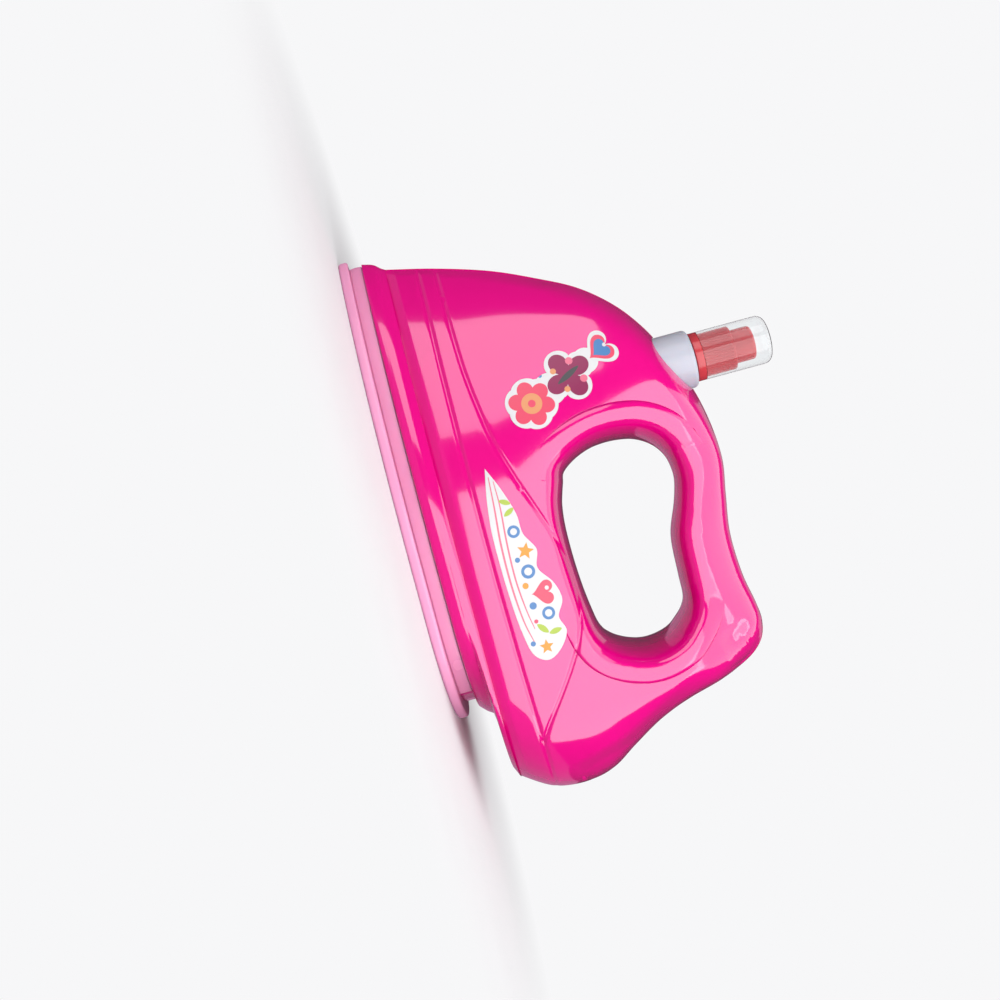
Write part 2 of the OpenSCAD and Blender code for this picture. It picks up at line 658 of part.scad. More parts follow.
// Electrics
board_l = 48;
board_w = 26;
board_clear = 2.4;
board_z = bay_top + bay_wall + board_clear;
board_x = bay_x + bay_l / 2;
post_r = 1.8;
post_inset = 3;
module board_posts() {
    for (sx = [-1, 1], sy = [-1, 1])
        upright([board_x + sx * (board_l / 2 - post_inset), sy * (board_w / 2 - post_inset)], post_r, bay_top, board_z);
}
module circuit_board() {
    color("seagreen") upright_box(board_x - board_l / 2, board_l, board_w, board_z, board_z + board_t);
}
chip_d = 9;
chip_h = 1.6;
can_d = 5;
can_h = 7;
can_x_shares = [0.12, 0.3];
module board_parts() {
    top = board_z + board_t;
    color("black") {
        upright([board_x - board_l / 4, 0], chip_d / 2, top, top + chip_h);
        for (s = can_x_shares) upright([board_x + s * board_l, board_w / 5], can_d / 2, top, top + can_h);
        translate([board_x, -board_w / 3, top]) cube([can_h, chip_h, chip_h]);
    }
}
module leds() {
    color("white") at_leds() {
        translate([0, 0, -plug_wall - led_l]) cylinder(d = led_d, h = plug_wall + led_l - led_d / 2, $fn = round_fn);
        translate([0, 0, -led_d / 2]) sphere(d = led_d, $fn = round_fn);
    }
}
module speaker() {
    cone_z = floor_z + speaker_rim_t;
    color("gray") translate([speaker_x, 0, 0]) {
        upright([0, 0], speaker_d / 2, floor_z, cone_z);
        translate([0, 0, cone_z])
            cylinder(r1 = speaker_d / 2 - speaker_rim_t, r2 = magnet_d / 2, h = speaker_cone_h, $fn = round_fn);
        upright([0, 0], magnet_d / 2, cone_z + speaker_cone_h, cone_z + speaker_cone_h + magnet_h);
    }
}
module switch_body() {
    color("gray") difference() {
        upright_box(switch_x + switch_travel / 2 - switch_l / 2, switch_l, switch_w, floor_z, floor_z + switch_h);
        upright_box(switch_x - knob_l / 2 - run_gap, knob_l + switch_travel + 2 * run_gap,
            knob_w + 2 * run_gap, floor_z - cut, floor_z + switch_h / 2 + run_gap);
    }
}
module switch_slider() {
    color("black") upright_box(switch_x - knob_l / 2, knob_l, knob_w, knob_sunk, floor_z + switch_h / 2);
}

// Water bottle and the well that holds it
module on_bottle() {
    translate([bottle_x, 0, 0]) children();
}
module turned(points) {
    on_bottle() rotate_extrude($fn = round_fn) polygon(points);
}
arc_steps = 6;
function arc(c, r, from, to) =
    [for (i = [0:arc_steps]) let(a = mix(from, to, i / arc_steps)) c + r * [cos(a), sin(a)]];
well_floor_t = 1.4;
well_flange_w = 1.6;
well_flange_t = 1.6;
module bottle_well() {
    low = bottle_z - well_floor_t - run_gap;
    flange = rib_zs[0] + rib_t + seat_gap;
    top = rib_zs[1] + rib_t;
    color(pale_pink) turned([
        [0, low], [well_r, low], [well_r, flange], [well_r + well_flange_w, flange],
        [well_r + well_flange_w, flange + well_flange_t], [well_r, flange + well_flange_t],
        [well_r, top], [well_r - well_wall, top], [well_r - well_wall, low + well_floor_t], [0, low + well_floor_t]]);
}
bottle_r = bottle_d / 2;
bottle_top = bottle_z + bottle_l;
shoulder_r = 1.4;
neck_r = neck_d / 2;
neck_h = 8;
neck_top = bottle_top + neck_h;
module water_bottle() {
    t = bottle_wall;
    color([0.88, 0.90, 0.95]) turned(concat(
        [[0, bottle_z]],
        arc([bottle_r - shoulder_r, bottle_z + shoulder_r], shoulder_r, -90, 0),
        arc([bottle_r - shoulder_r, bottle_top - shoulder_r], shoulder_r, 0, 90),
        [[neck_r, bottle_top], [neck_r, neck_top], [neck_r - t, neck_top], [neck_r - t, bottle_top - t],
            [bottle_r - t, bottle_top - shoulder_r - t], [bottle_r - t, bottle_z + t], [0, bottle_z + t]]));
}

// Sprayer: a pump that hangs in the bottle's neck, held down by a screwed collar
gasket_t = 0.8;
flange_t = 1;
barrel_r = barrel_d / 2;
barrel_wall = 1;
barrel_l = 24;
nipple_wall = 0.8;
nipple_l = 6;
inlet_r = 0.8;
ball_d = 2.4;
ball_gap = 0.2;
guide_t = 1.6;
stem_r = 1.6;
pump_z = neck_top + gasket_t;
pump_top = pump_z + flange_t;
chamber_z = pump_top - barrel_l;
barrel_floor_z = chamber_z - barrel_wall;
dip_r = dip_d / 2;
dip_wall = 0.5;
ball_seat_r = ball_d / 2 - ball_gap;
ball_room_r = ball_d / 2 + ball_gap;
dip_top = barrel_floor_z - ball_d - 2 * ball_seat_r;
ball_room_z = dip_top + ball_seat_r;
module pump_gasket() {
    color("white") turned([[barrel_r + bore_gap, neck_top], [neck_r, neck_top], [neck_r, pump_z], [barrel_r + bore_gap, pump_z]]);
}
module pump_barrel() {
    bore = barrel_r - barrel_wall;
    color("white") turned([
        [stem_r + bore_gap, pump_top], [neck_r, pump_top], [neck_r, pump_z], [barrel_r, pump_z],
        [barrel_r, barrel_floor_z], [dip_r + nipple_wall, barrel_floor_z], [dip_r + nipple_wall, dip_top - nipple_l],
        [dip_r, dip_top - nipple_l], [dip_r, dip_top], [inlet_r, dip_top], [inlet_r, ball_room_z - ball_gap],
        [ball_room_r, ball_room_z], [ball_room_r, barrel_floor_z], [inlet_r, barrel_floor_z], [inlet_r, chamber_z],
        [bore, chamber_z], [bore, pump_top - guide_t], [stem_r + bore_gap, pump_top - guide_t]]);
}
module pump_ball() {
    color("silver") on_bottle() translate([0, 0, ball_room_z + ball_d / 2]) sphere(d = ball_d, $fn = round_fn);
}
dip_clear = 2;
module dip_tube() {
    low = bottle_z + bottle_wall + dip_clear;
    color("white") turned([[dip_r - dip_wall, low], [dip_r, low], [dip_r, dip_top], [dip_r - dip_wall, dip_top]]);
}
piston_h = 3;
piston_top = pump_top - guide_t - seat_gap;
piston_z = piston_top - piston_h;
collar_gap = 0.3;
collar_z = bottle_top + collar_gap;
collar_flange_h = 3.4;
cap_gap = 0.2;
collar_r = cap_d / 2 - cap_wall - cap_gap;
collar_roof_z = pump_top + seat_gap;
roof_t = 1.2;
head_z = collar_roof_z + roof_t + press + seat_gap;
head_top = head_z + head_h;
head_r = head_d / 2;
head_wall = 1;
head_edge = 1.4;
dish = 0.7;
socket_share = 0.4;
stem_top = head_z + head_h * socket_share;
shroud_h = 1.2;
module pump_piston() {
    r = barrel_r - barrel_wall - bore_gap;
    color("white") turned([[0, piston_z], [r, piston_z], [r, piston_top], [stem_r, piston_top], [stem_r, stem_top], [0, stem_top]]);
}
pump_curls = 6;
pump_spring_gap = 0.3;
pump_spring_r = barrel_r - barrel_wall - pump_spring_gap - pump_wire / 2;
pump_spring_h = piston_z - chamber_z;
module pump_spring() {
    color("silver") on_bottle() translate([0, 0, chamber_z])
        spring(pump_spring_r, pump_spring_r, pump_spring_h, pump_curls, pump_wire);
}
echo(battery_spring_gap = least_gap(wire_line(battery_spring_tip_r, battery_spring_r, battery_spring_h,
    battery_curls, spring_wire), spring_wire));
echo(pump_spring_gap = least_gap(wire_line(pump_spring_r, pump_spring_r, pump_spring_h, pump_curls, pump_wire), pump_wire));
module screw_collar() {
    inner = neck_r + run_gap;
    hole = barrel_r + barrel_wall;
    top = head_z + shroud_h;
    color(coral) turned([
        [inner, collar_z], [cap_d / 2, collar_z], [cap_d / 2, collar_z + collar_flange_h],
        [collar_r, collar_z + collar_flange_h], [collar_r, top], [head_r + run_gap, top],
        [head_r + run_gap, collar_roof_z + roof_t], [hole, collar_roof_z + roof_t], [hole, collar_roof_z],
        [inner, collar_roof_z]]);
}
nozzle_z_share = 0.62;
nozzle_z = head_z + head_h * nozzle_z_share;
nozzle_d = 3.6;
nozzle_l = 2.4;
nozzle_sunk = 0.1;
nozzle_hole_d = 0.8;
module at_nozzle() {
    on_bottle() translate([0, 0, nozzle_z]) rotate([0, -90, 0])
        translate([0, 0, head_r - nozzle_sunk - nozzle_l]) children();
}
module spray_head() {
    socket_r = stem_r + head_wall;
    color(coral) difference() {
        turned(concat(
            [[stem_r + bore_gap, head_z], [socket_r, head_z], [socket_r, stem_top], [head_r - head_wall, stem_top],
                [head_r - head_wall, head_z], [head_r, head_z]],
            arc([head_r - head_edge, head_top - head_edge], head_edge, 0, 90),
            [[0, head_top - dish], [0, stem_top], [stem_r + bore_gap, stem_top]]));
        at_nozzle() cylinder(d = nozzle_d + 2 * bore_gap, h = nozzle_l + nozzle_sunk + cut, $fn = round_fn);
    }
}
module nozzle_insert() {
    color("white") at_nozzle() difference() {
        cylinder(d = nozzle_d, h = nozzle_l, $fn = round_fn);
        translate([0, 0, nozzle_l / 2]) cylinder(d = nozzle_hole_d, h = nozzle_l, $fn = round_fn);
    }
}
cap_z = collar_z + collar_flange_h + seat_gap;
cap_round = 3;
module overcap() {
    r = cap_d / 2;
    top = cap_z + cap_h;
    color([0.9, 0.93, 0.95, 0.5]) turned(concat(
        [[r - cap_wall, cap_z], [r, cap_z]],
        arc([r - cap_round, top - cap_round], cap_round, 0, 90),
        [[0, top], [0, top - cap_wall]],
        arc([r - cap_round, top - cap_round], cap_round - cap_wall, 90, 0)));
}

left_shell();
right_shell();
base_housing();
light_ring();
sole_plate();
battery_door();
door_screw();
battery_cells();
battery_springs();
battery_contacts();
circuit_board();
board_parts();
leds();
speaker();
switch_body();
switch_slider();
bottle_well();
water_bottle();
pump_gasket();
pump_barrel();
pump_ball();
dip_tube();
pump_spring();
pump_piston();
screw_collar();
spray_head();
nozzle_insert();
overcap();
shell_screws();
base_screws();
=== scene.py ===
# %% [markdown]
# Toy iron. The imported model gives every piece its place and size. This file gives them their
# looks: smooth moulded shells, a see-through light ring, a pale sole, a spray bottle with a clear
# cap and two die-cut stickers. All lengths are in metres, +X from the nose to the heel, +Z up.

# %% Load the frame
import json
import math
import bmesh
import bpy
import numpy as np
from mathutils import Matrix, Vector
from mathutils.geometry import delaunay_2d_cdt

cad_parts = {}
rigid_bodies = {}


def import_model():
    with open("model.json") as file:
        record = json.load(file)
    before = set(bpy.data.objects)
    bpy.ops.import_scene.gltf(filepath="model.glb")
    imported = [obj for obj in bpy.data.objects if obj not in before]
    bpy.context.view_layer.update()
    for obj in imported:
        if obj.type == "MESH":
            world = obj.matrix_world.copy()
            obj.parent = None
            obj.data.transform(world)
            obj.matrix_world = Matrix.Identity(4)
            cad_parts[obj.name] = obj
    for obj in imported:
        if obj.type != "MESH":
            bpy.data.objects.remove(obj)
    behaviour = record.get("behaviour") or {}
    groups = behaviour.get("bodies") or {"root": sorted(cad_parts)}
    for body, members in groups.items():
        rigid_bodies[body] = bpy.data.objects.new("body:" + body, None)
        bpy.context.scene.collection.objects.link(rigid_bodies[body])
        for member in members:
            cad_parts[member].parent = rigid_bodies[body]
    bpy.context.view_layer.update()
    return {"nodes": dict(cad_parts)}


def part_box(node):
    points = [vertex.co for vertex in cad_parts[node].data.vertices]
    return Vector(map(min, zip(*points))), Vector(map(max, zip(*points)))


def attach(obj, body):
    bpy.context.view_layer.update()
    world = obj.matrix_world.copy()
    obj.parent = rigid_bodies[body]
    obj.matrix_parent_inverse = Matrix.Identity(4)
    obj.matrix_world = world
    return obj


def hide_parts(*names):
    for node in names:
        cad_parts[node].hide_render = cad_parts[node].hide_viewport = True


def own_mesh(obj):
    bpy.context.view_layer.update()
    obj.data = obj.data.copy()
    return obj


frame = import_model()
scene_objects = bpy.context.scene.collection.objects
MM = 0.001

# %% [markdown]
# The camera stands where the photograph was taken from: straight in front of the iron's left
# side, half a metre away, and rolled so that the nose points up and the sole is on the left.
# A long lens far away and a short lens close by can frame the iron alike. They differ in how much
# smaller its far side looks than its near one.

# %% Camera
PHOTO_PIXELS = 1000
FOCAL_PIXELS = 1341
SENSOR_WIDTH = 36.0
ROLL = math.radians(15.2)
LOOK_X = -4.5 * MM
LOOK_Z = 39 * MM
CAMERA_DISTANCE = 550 * MM

camera_data = bpy.data.cameras.new("camera")
camera_data.sensor_width = SENSOR_WIDTH
camera_data.lens = FOCAL_PIXELS / PHOTO_PIXELS * SENSOR_WIDTH
camera_data.clip_start = 0.01
camera = bpy.data.objects.new("camera", camera_data)
scene_objects.link(camera)
right = Vector((math.sin(ROLL), 0, math.cos(ROLL)))
up = Vector((-math.cos(ROLL), 0, math.sin(ROLL)))
back = right.cross(up)
turn = Matrix((right, up, back)).transposed().to_4x4()
camera.matrix_world = Matrix.Translation((LOOK_X, -CAMERA_DISTANCE, LOOK_Z)) @ turn
bpy.context.scene.camera = camera
print("lens", round(camera_data.lens, 1), "mm")

# %% [markdown]
# Every piece is a mesh made from numbers, so a few small helpers serve them all. One turns points
# and faces into an object, and one turns a profile round an upright axis. Smooth shading alone
# would smear light over a corner, so each edge that bends by more than a given angle is marked
# sharp.

# %% Mesh helpers
SHARP_ANGLE = math.radians(32)


def sharpen(mesh, angle=SHARP_ANGLE):
    work = bmesh.new()
    work.from_mesh(mesh)
    for face in work.faces:
        face.smooth = True
    for edge in work.edges:
        edge.smooth = len(edge.link_faces) == 2 and edge.calc_face_angle(0) < angle
    work.to_mesh(mesh)
    work.free()


def make_piece(name, points, faces, body="root", angle=SHARP_ANGLE):
    mesh = bpy.data.meshes.new(name)
    mesh.from_pydata([tuple(p) for p in points], [], [tuple(f) for f in faces])
    mesh.validate()
    sharpen(mesh, angle)
    piece = bpy.data.objects.new(name, mesh)
    scene_objects.link(piece)
    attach(piece, body)
    return piece


def lathe(name, profile, centre=(0, 0), segments=96, body="root", angle=SHARP_ANGLE):
    """A closed profile of (radius, height) turned round the upright axis at centre."""
    points = []
    for i in range(segments):
        a = 2 * math.pi * i / segments
        points += [(centre[0] + r * math.cos(a), centre[1] + r * math.sin(a), z) for r, z in profile]
    n = len(profile)
    faces = []
    for i in range(segments):
        j = (i + 1) % segments
        for k in range(n):
            m = (k + 1) % n
            faces.append((i * n + k, j * n + k, j * n + m, i * n + m))
    piece = make_piece(name, points, faces, body, angle)
    work = bmesh.new()
    work.from_mesh(piece.data)
    bmesh.ops.remove_doubles(work, verts=work.verts, dist=1e-7)
    bmesh.ops.dissolve_degenerate(work, edges=work.edges, dist=1e-8)
    bmesh.ops.recalc_face_normals(work, faces=work.faces)
    work.to_mesh(piece.data)
    work.free()
    sharpen(piece.data, angle)
    return piece


def arc_points(centre, radius, start, end, steps=8):
    """Points on an arc, angles in degrees, as (radius, height) pairs of a profile."""
    angles = [math.radians(start + (end - start) * i / steps) for i in range(steps + 1)]
    return [(centre[0] + radius * math.cos(a), centre[1] + radius * math.sin(a)) for a in angles]


print("mesh helpers ready")

# %% [markdown]
# A moulded hole is easiest to make as a shape of its own, which is then subtracted. Two kinds are
# enough here: a cylinder between any two points, and an upright block with rounded corners.

# %% Cutting helpers
CUTTER_SEGMENTS = 64
CORNER_STEPS = 6


def cut_away(piece, cutters):
    """Subtracts closed meshes from a piece, and deletes them."""
    for cutter in cutters:
        modifier = piece.modifiers.new("cut", "BOOLEAN")
        modifier.operation = "DIFFERENCE"
        modifier.solver = "EXACT"
        modifier.object = cutter
        bpy.context.view_layer.objects.active = piece
        bpy.ops.object.modifier_apply(modifier=modifier.name)
        bpy.data.objects.remove(cutter)
    sharpen(piece.data)


def cutter(points, faces):
    mesh = bpy.data.meshes.new("cutter")
    mesh.from_pydata([tuple(p) for p in points], [], faces)
    thing = bpy.data.objects.new("cutter", mesh)
    scene_objects.link(thing)
    return thing


def round_cutter(start, end, radius, segments=CUTTER_SEGMENTS):
    """A cylinder from start to end."""
    start, end = Vector(start), Vector(end)
    axis = (end - start).normalized()
    side = axis.orthogonal().normalized()
    other = axis.cross(side)
    ring = [side * math.cos(a) * radius + other * math.sin(a) * radius
            for a in (2 * math.pi * i / segments for i in range(segments))]
    points = [start + r for r in ring] + [end + r for r in ring]
    faces = [(i, (i + 1) % segments, segments + (i + 1) % segments, segments + i) for i in range(segments)]
    faces += [tuple(range(segments))[::-1], tuple(range(segments, 2 * segments))]
    return cutter(points, faces)


def box_cutter(low, high, corner=0.0, steps=CORNER_STEPS):
    """An upright block whose four upright edges are rounded."""
    x0, y0, z0 = low
    x1, y1, z1 = high
    outline = []
    for cx, cy, start in ((x1, y1, 0), (x0, y1, 90), (x0, y0, 180), (x1, y0, 270)):
        sx, sy = (1 if cx == x1 else -1), (1 if cy == y1 else -1)
        for i in range(steps + 1):
            a = math.radians(start + 90 * i / steps)
            outline.append((cx - sx * corner + corner * math.cos(a),
                            cy - sy * corner + corner * math.sin(a)))
    n = len(outline)
    points = [(x, y, z0) for x, y in outline] + [(x, y, z1) for x, y in outline]
    faces = [(i, (i + 1) % n, n + (i + 1) % n, n + i) for i in range(n)]
    faces += [tuple(range(n))[::-1], tuple(range(n, 2 * n))]
    return cutter(points, faces)


print("cutting helpers ready")

# %% [markdown]
# The body is two mirrored shells. Seen from the side, each is a closed outline with a hand hole in
# it. One table holds both loops as shares of the body's length and height, and a smooth curve runs
# through its rows. Modelling the body by hand with a subdivision surface would also work, but a
# formula lets grooves, steps and lip be drawn as smooth lines. The sizes come from the frame's box.

# %% Outline of the body
SHELL_LOW, SHELL_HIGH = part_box("left_shell")
HEEL_REACH_SHARE = 1.042
FOOT_L = (SHELL_HIGH.x - SHELL_LOW.x) / HEEL_REACH_SHARE
SHELL_X = SHELL_LOW.x
SEAT_Z = SHELL_LOW.z
RISE = 113.5 * MM
WAIST_W = 2 * (-SHELL_LOW.y)
WALL = 2.2 * MM
HOLE_L = 82 * MM
HOLE_H = 49 * MM
HOLE_X = 25 * MM
HOLE_Z = 86 * MM
LIP_W = 14 * MM
CROWN_R = 14 * MM

# Each row: along and up the outline, then along and up the hand hole, as shares.
CROWN_SHARES = [
    (0.000, 0.000, -0.409, -0.388), (0.023, 0.176, -0.457, -0.276), (0.054, 0.361, -0.490, -0.133),
    (0.091, 0.517, -0.500, 0.000), (0.130, 0.655, -0.497, 0.122), (0.181, 0.768, -0.482, 0.245),
    (0.239, 0.850, -0.451, 0.347), (0.303, 0.910, -0.409, 0.424), (0.374, 0.963, -0.354, 0.478),
    (0.448, 0.992, -0.293, 0.500), (0.519, 0.998, -0.226, 0.498), (0.585, 0.977, -0.122, 0.449),
    (0.659, 0.955, 0.037, 0.351), (0.738, 0.959, 0.232, 0.327), (0.799, 0.979, 0.341, 0.320),
    (0.837, 0.985, 0.396, 0.282), (0.873, 0.962, 0.439, 0.214), (0.901, 0.900, 0.476, 0.133),
    (0.923, 0.793, 0.496, 0.020), (0.942, 0.661, 0.499, -0.092), (0.967, 0.537, 0.482, -0.204),
    (1.002, 0.423, 0.451, -0.306), (1.031, 0.335, 0.412, -0.382), (1.042, 0.247, 0.378, -0.418),
    (1.035, 0.115, 0.348, -0.437), (1.000, 0.000, 0.317, -0.449)]
FOOT_SHARES = [
    (0.901, 0, 0.232, -0.469), (0.792, 0, 0.146, -0.484), (0.677, 0, 0.037, -0.494),
    (0.563, 0, -0.073, -0.496), (0.448, 0, -0.171, -0.490), (0.333, 0, -0.256, -0.471),
    (0.219, 0, -0.311, -0.445), (0.104, 0, -0.362, -0.416)]
SPOKE_SHARES = np.array(CROWN_SHARES + FOOT_SHARES, float)
HEEL_ROW = len(CROWN_SHARES) - 1
FAN = 18


def catmull(a, b, c, d, t):
    return (2 * b + (c - a) * t + (2 * a - 5 * b + 4 * c - d) * t ** 2
            + (3 * b - a - 3 * c + d) * t ** 3) / 2


def body_spokes():
    n = len(SPOKE_SHARES)
    corners = (0, HEEL_ROW)
    spokes = []
    for k in range(n):
        b, c = SPOKE_SHARES[k], SPOKE_SHARES[(k + 1) % n]
        a, d = SPOKE_SHARES[k - 1], SPOKE_SHARES[(k + 2) % n]
        outer_a = 2 * b - c if k in corners else a
        outer_d = 2 * c - b if (k + 1) % n in corners else d
        for i in range(FAN):
            t = i / FAN
            outer = catmull(outer_a, b, c, outer_d, t)[:2]
            inner = catmull(a, b, c, d, t)[2:]
            spokes.append((SHELL_X + outer[0] * FOOT_L, SEAT_Z + outer[1] * RISE,
                           HOLE_X + inner[0] * HOLE_L, HOLE_Z + inner[1] * HOLE_H))
    return np.array(spokes)


SPOKES = body_spokes()
SPOKE_N = len(SPOKES)
HEEL_I = HEEL_ROW * FAN
print("spokes", SPOKE_N, "outline from", SPOKES[:, 0].min().round(4), "to", SPOKES[:, 0].max().round(4))

# %% [markdown]
# How wide the body is at each height comes from a few shares, as in the construction. A straight
# line between them would show as a facet in a glossy side, so a cubic curve runs through them.
# The nose and the heel round off over a length of their own, and the top over a radius.

# %% Width of the body
WIDTH_SHARES = [(0, 1), (0.1, 0.985), (0.25, 0.90), (0.4, 0.77), (0.55, 0.66), (0.7, 0.53),
                (0.8, 0.40), (0.88, 0.31), (1, 0.28)]
CREST_SHARES = [(0, 1), (0.1, 0.985), (0.25, 0.90), (0.4, 0.78), (0.55, 0.67), (0.7, 0.55),
                (0.8, 0.47), (0.88, 0.43), (1, 0.38)]
FRONT_LEN_SHARES = [(0, 0.60), (0.25, 0.52), (0.5, 0.38), (0.7, 0.25), (0.85, 0.14), (1, 0.10)]
FRONT_POINT_SHARES = [(0, 0.85), (0.4, 0.75), (0.8, 0.5), (1, 0.5)]
REAR_LEN_SHARES = [(0, 0.19), (0.25, 0.16), (0.55, 0.08), (0.8, 0.06), (1, 0.06)]
CREST_FROM_SHARE = 0.48
CREST_TO_SHARE = 0.34
LIP_FOOT_SHARE = 0.4


def curve_through(table):
    """A natural cubic curve through a table of (place, value) pairs."""
    x, y = np.array(table, float).T
    n = len(x)
    h = np.diff(x)
    system = np.eye(n)
    rhs = np.zeros(n)
    for i in range(1, n - 1):
        system[i, i - 1:i + 2] = h[i - 1], 2 * (h[i - 1] + h[i]), h[i]
        rhs[i] = 6 * ((y[i + 1] - y[i]) / h[i] - (y[i] - y[i - 1]) / h[i - 1])
    m = np.linalg.solve(system, rhs)

    def value(q):
        q = np.clip(q, x[0], x[-1])
        i = np.clip(np.searchsorted(x, q) - 1, 0, n - 2)
        a, b = x[i + 1] - q, q - x[i]
        return ((m[i] * a ** 3 + m[i + 1] * b ** 3) / (6 * h[i])
                + (y[i] / h[i] - m[i] * h[i] / 6) * a + (y[i + 1] / h[i] - m[i + 1] * h[i] / 6) * b)
    return value


width_at = curve_through(WIDTH_SHARES)
crest_at = curve_through(CREST_SHARES)
front_len_at = curve_through(FRONT_LEN_SHARES)
front_point_at = curve_through(FRONT_POINT_SHARES)
rear_len_at = curve_through(REAR_LEN_SHARES)


def ease(s, power):
    return np.power(1 - (1 - np.clip(s, 0, 1)) ** 2, power)


def smoothstep(s):
    s = np.clip(s, 0, 1)
    return s * s * (3 - 2 * s)


def half_width(x, q):
    along = (x - SHELL_X) / FOOT_L
    crest = ease((along - CREST_FROM_SHARE) / (CREST_TO_SHARE - CREST_FROM_SHARE), 1)
    return WAIST_W / 2 * (width_at(q) * (1 - crest) + crest_at(q) * crest)


# The outline's nose and rear as functions of the height, and its top as a function of the length.
NOSE_LAST_ROW = 9
REAR_FIRST_ROW = 15
TOP_LAST_ROW = 17
THIN = 3
nose_x_at = curve_through(SPOKES[:NOSE_LAST_ROW * FAN + 1:THIN, [1, 0]])
rear_x_at = curve_through(SPOKES[REAR_FIRST_ROW * FAN:HEEL_I + 1:THIN, [1, 0]][::-1])
top_z_at = curve_through(SPOKES[:TOP_LAST_ROW * FAN + 1:THIN, :2])


def shape_factor(x, z):
    """Product of the roundings at the nose, the heel and the top."""
    q = (z - SEAT_Z) / RISE
    front = ease((x - nose_x_at(z)) / (FOOT_L * front_len_at(q)), front_point_at(q))
    rear = ease((rear_x_at(z) - x) / (FOOT_L * rear_len_at(q)), 0.5)
    return front * rear, ease((top_z_at(x) - z) / CROWN_R, 0.5)


print("half width at the waist", round(float(half_width(0.0, 0.0)), 4))

# %% [markdown]
# The side carries moulded lines: two grooves that enclose a leaf-shaped panel and run together at
# the heel, a bevel along the waist, and two places where the side steps down, along the rear of
# the handle's column and under its rear knob. Each line is a smooth curve through a few points of
# the side view. The signed distance to it says how far the side sinks.

# %% Moulded lines
GROOVE_W = 0.85 * MM
GROOVE_DEPTH = 0.6 * MM
BEVEL_H = 3.8 * MM
BEVEL_DEPTH = 1.4 * MM
BEVEL_CORNER = 0.5 * MM
STEP_EDGE = 0.35 * MM
# How deep and how wide each step is, and over what share of its length it fades at each end.
REAR_SHAPE = (2.6 * MM, 7 * MM, 0.3)
KNOB_SHAPE = (1.3 * MM, 5 * MM, 0.45)


def smooth_line(points, per=8):
    """A curve through points of the side view, given in millimetres."""
    p = np.array(points, float) * MM
    p = np.vstack([2 * p[0] - p[1], p, 2 * p[-1] - p[-2]])
    steps = [catmull(p[i], p[i + 1], p[i + 2], p[i + 3], t / per)
             for i in range(len(p) - 3) for t in range(per)]
    return np.array(steps + [p[-2]])


LEAF_LOW = smooth_line([(-108, 30.6), (-90, 30.6), (-60, 30), (-20, 29.6), (20, 29.4), (50, 29.8),
                        (75, 30.4), (88, 30.8), (100, 31), (117, 31)])
LEAF_HIGH = smooth_line([(-110, 37.8), (-85, 37.8), (-58, 38.3), (-38, 40.4), (-25, 42.6), (-12, 46.4),
                         (1, 51), (13, 55), (24, 57.6), (35, 58.4), (45, 57.4), (55, 54), (64, 48.6),
                         (73, 42), (82, 35), (88, 31.2)])
REAR_STEP = smooth_line([(105, 33), (101, 40), (98, 50), (95.5, 61), (91, 72), (85.5, 82),
                         (81, 92), (77, 102)])
KNOB_STEP = smooth_line([(70, 106), (68.4, 111), (66.4, 116), (63, 121)])


def line_distance(line, x, z):
    """Distance of points to a curve, positive on its right, and the share along the curve."""
    points = np.stack([x.ravel(), z.ravel()], 1)
    best = np.full(len(points), 1e9)
    side = np.ones(len(points))
    along = np.zeros(len(points))
    count = len(line) - 1
    for k in range(count):
        a, step = line[k], line[k + 1] - line[k]
        t = np.clip(((points - a) @ step) / (step @ step), 0, 1)
        gap = points - (a + t[:, None] * step)
        square = (gap ** 2).sum(1)
        nearer = square < best
        best[nearer] = square[nearer]
        side[nearer] = np.sign(step[1] * gap[nearer, 0] - step[0] * gap[nearer, 1])
        along[nearer] = (k + t[nearer]) / count
    return (np.sqrt(best) * side).reshape(x.shape), along.reshape(x.shape)


print("leaf panel's lines", len(LEAF_LOW), "and", len(LEAF_HIGH), "points")

# %% [markdown]
# A groove sinks the side along both sides of its line. A step sinks everything on one side of its
# line, and fades out towards both ends. The bevel runs along the waist.

# %% Sinking along the lines
GROOVES = (LEAF_LOW, LEAF_HIGH)


def groove_sink(line, x, z):
    distance = line_distance(line, x, z)[0]
    return GROOVE_DEPTH * np.exp(-(distance / GROOVE_W) ** 2)


def step_sink(line, x, z, depth, width, fade):
    """The side steps down on the curve's right, less and less over its last stretch at each end."""
    distance, along = line_distance(line, x, z)
    ends = smoothstep(along / fade) * smoothstep((1 - along) / fade)
    return depth * ends * smoothstep((distance + STEP_EDGE) / width)


def bevel_sink(z):
    """Straight from its depth at the waist to nothing, with a small round at its upper corner."""
    left = 1 - (z - SEAT_Z) / BEVEL_H
    corner = BEVEL_CORNER / BEVEL_H
    return BEVEL_DEPTH * (left + np.sqrt(left ** 2 + corner ** 2)) / 2


def side_sink(x, z):
    sink = sum(groove_sink(line, x, z) for line in GROOVES)
    sink = sink + step_sink(REAR_STEP, x, z, *REAR_SHAPE)
    sink = sink + step_sink(KNOB_STEP, x, z, *KNOB_SHAPE)
    return sink + bevel_sink(z)


print("bevel sinks", round(float(bevel_sink(SEAT_Z)), 5), "at the waist")

# %% [markdown]
# The side is a height field. At each place of the side view, one formula says how far the plastic
# stands out from the plane where the two halves meet. The hand hole's wall rises steeply to a
# crisp edge, and at both ends of the hole a broad lip stands out a little more.

# %% Height of the side
WALL_REACH = 7.5 * MM
WALL_POWER = 0.42
WALL_CRISP = 0.75
LIP_RISE = 1.5 * MM
LIP_ROUND = 4.5 * MM
LIP_ENDS = [(168, 44), (-10, 52)]
LIP_FADE = 22
LIP_OUT_SHARE = 0.98
LINE_FADE = 5 * MM


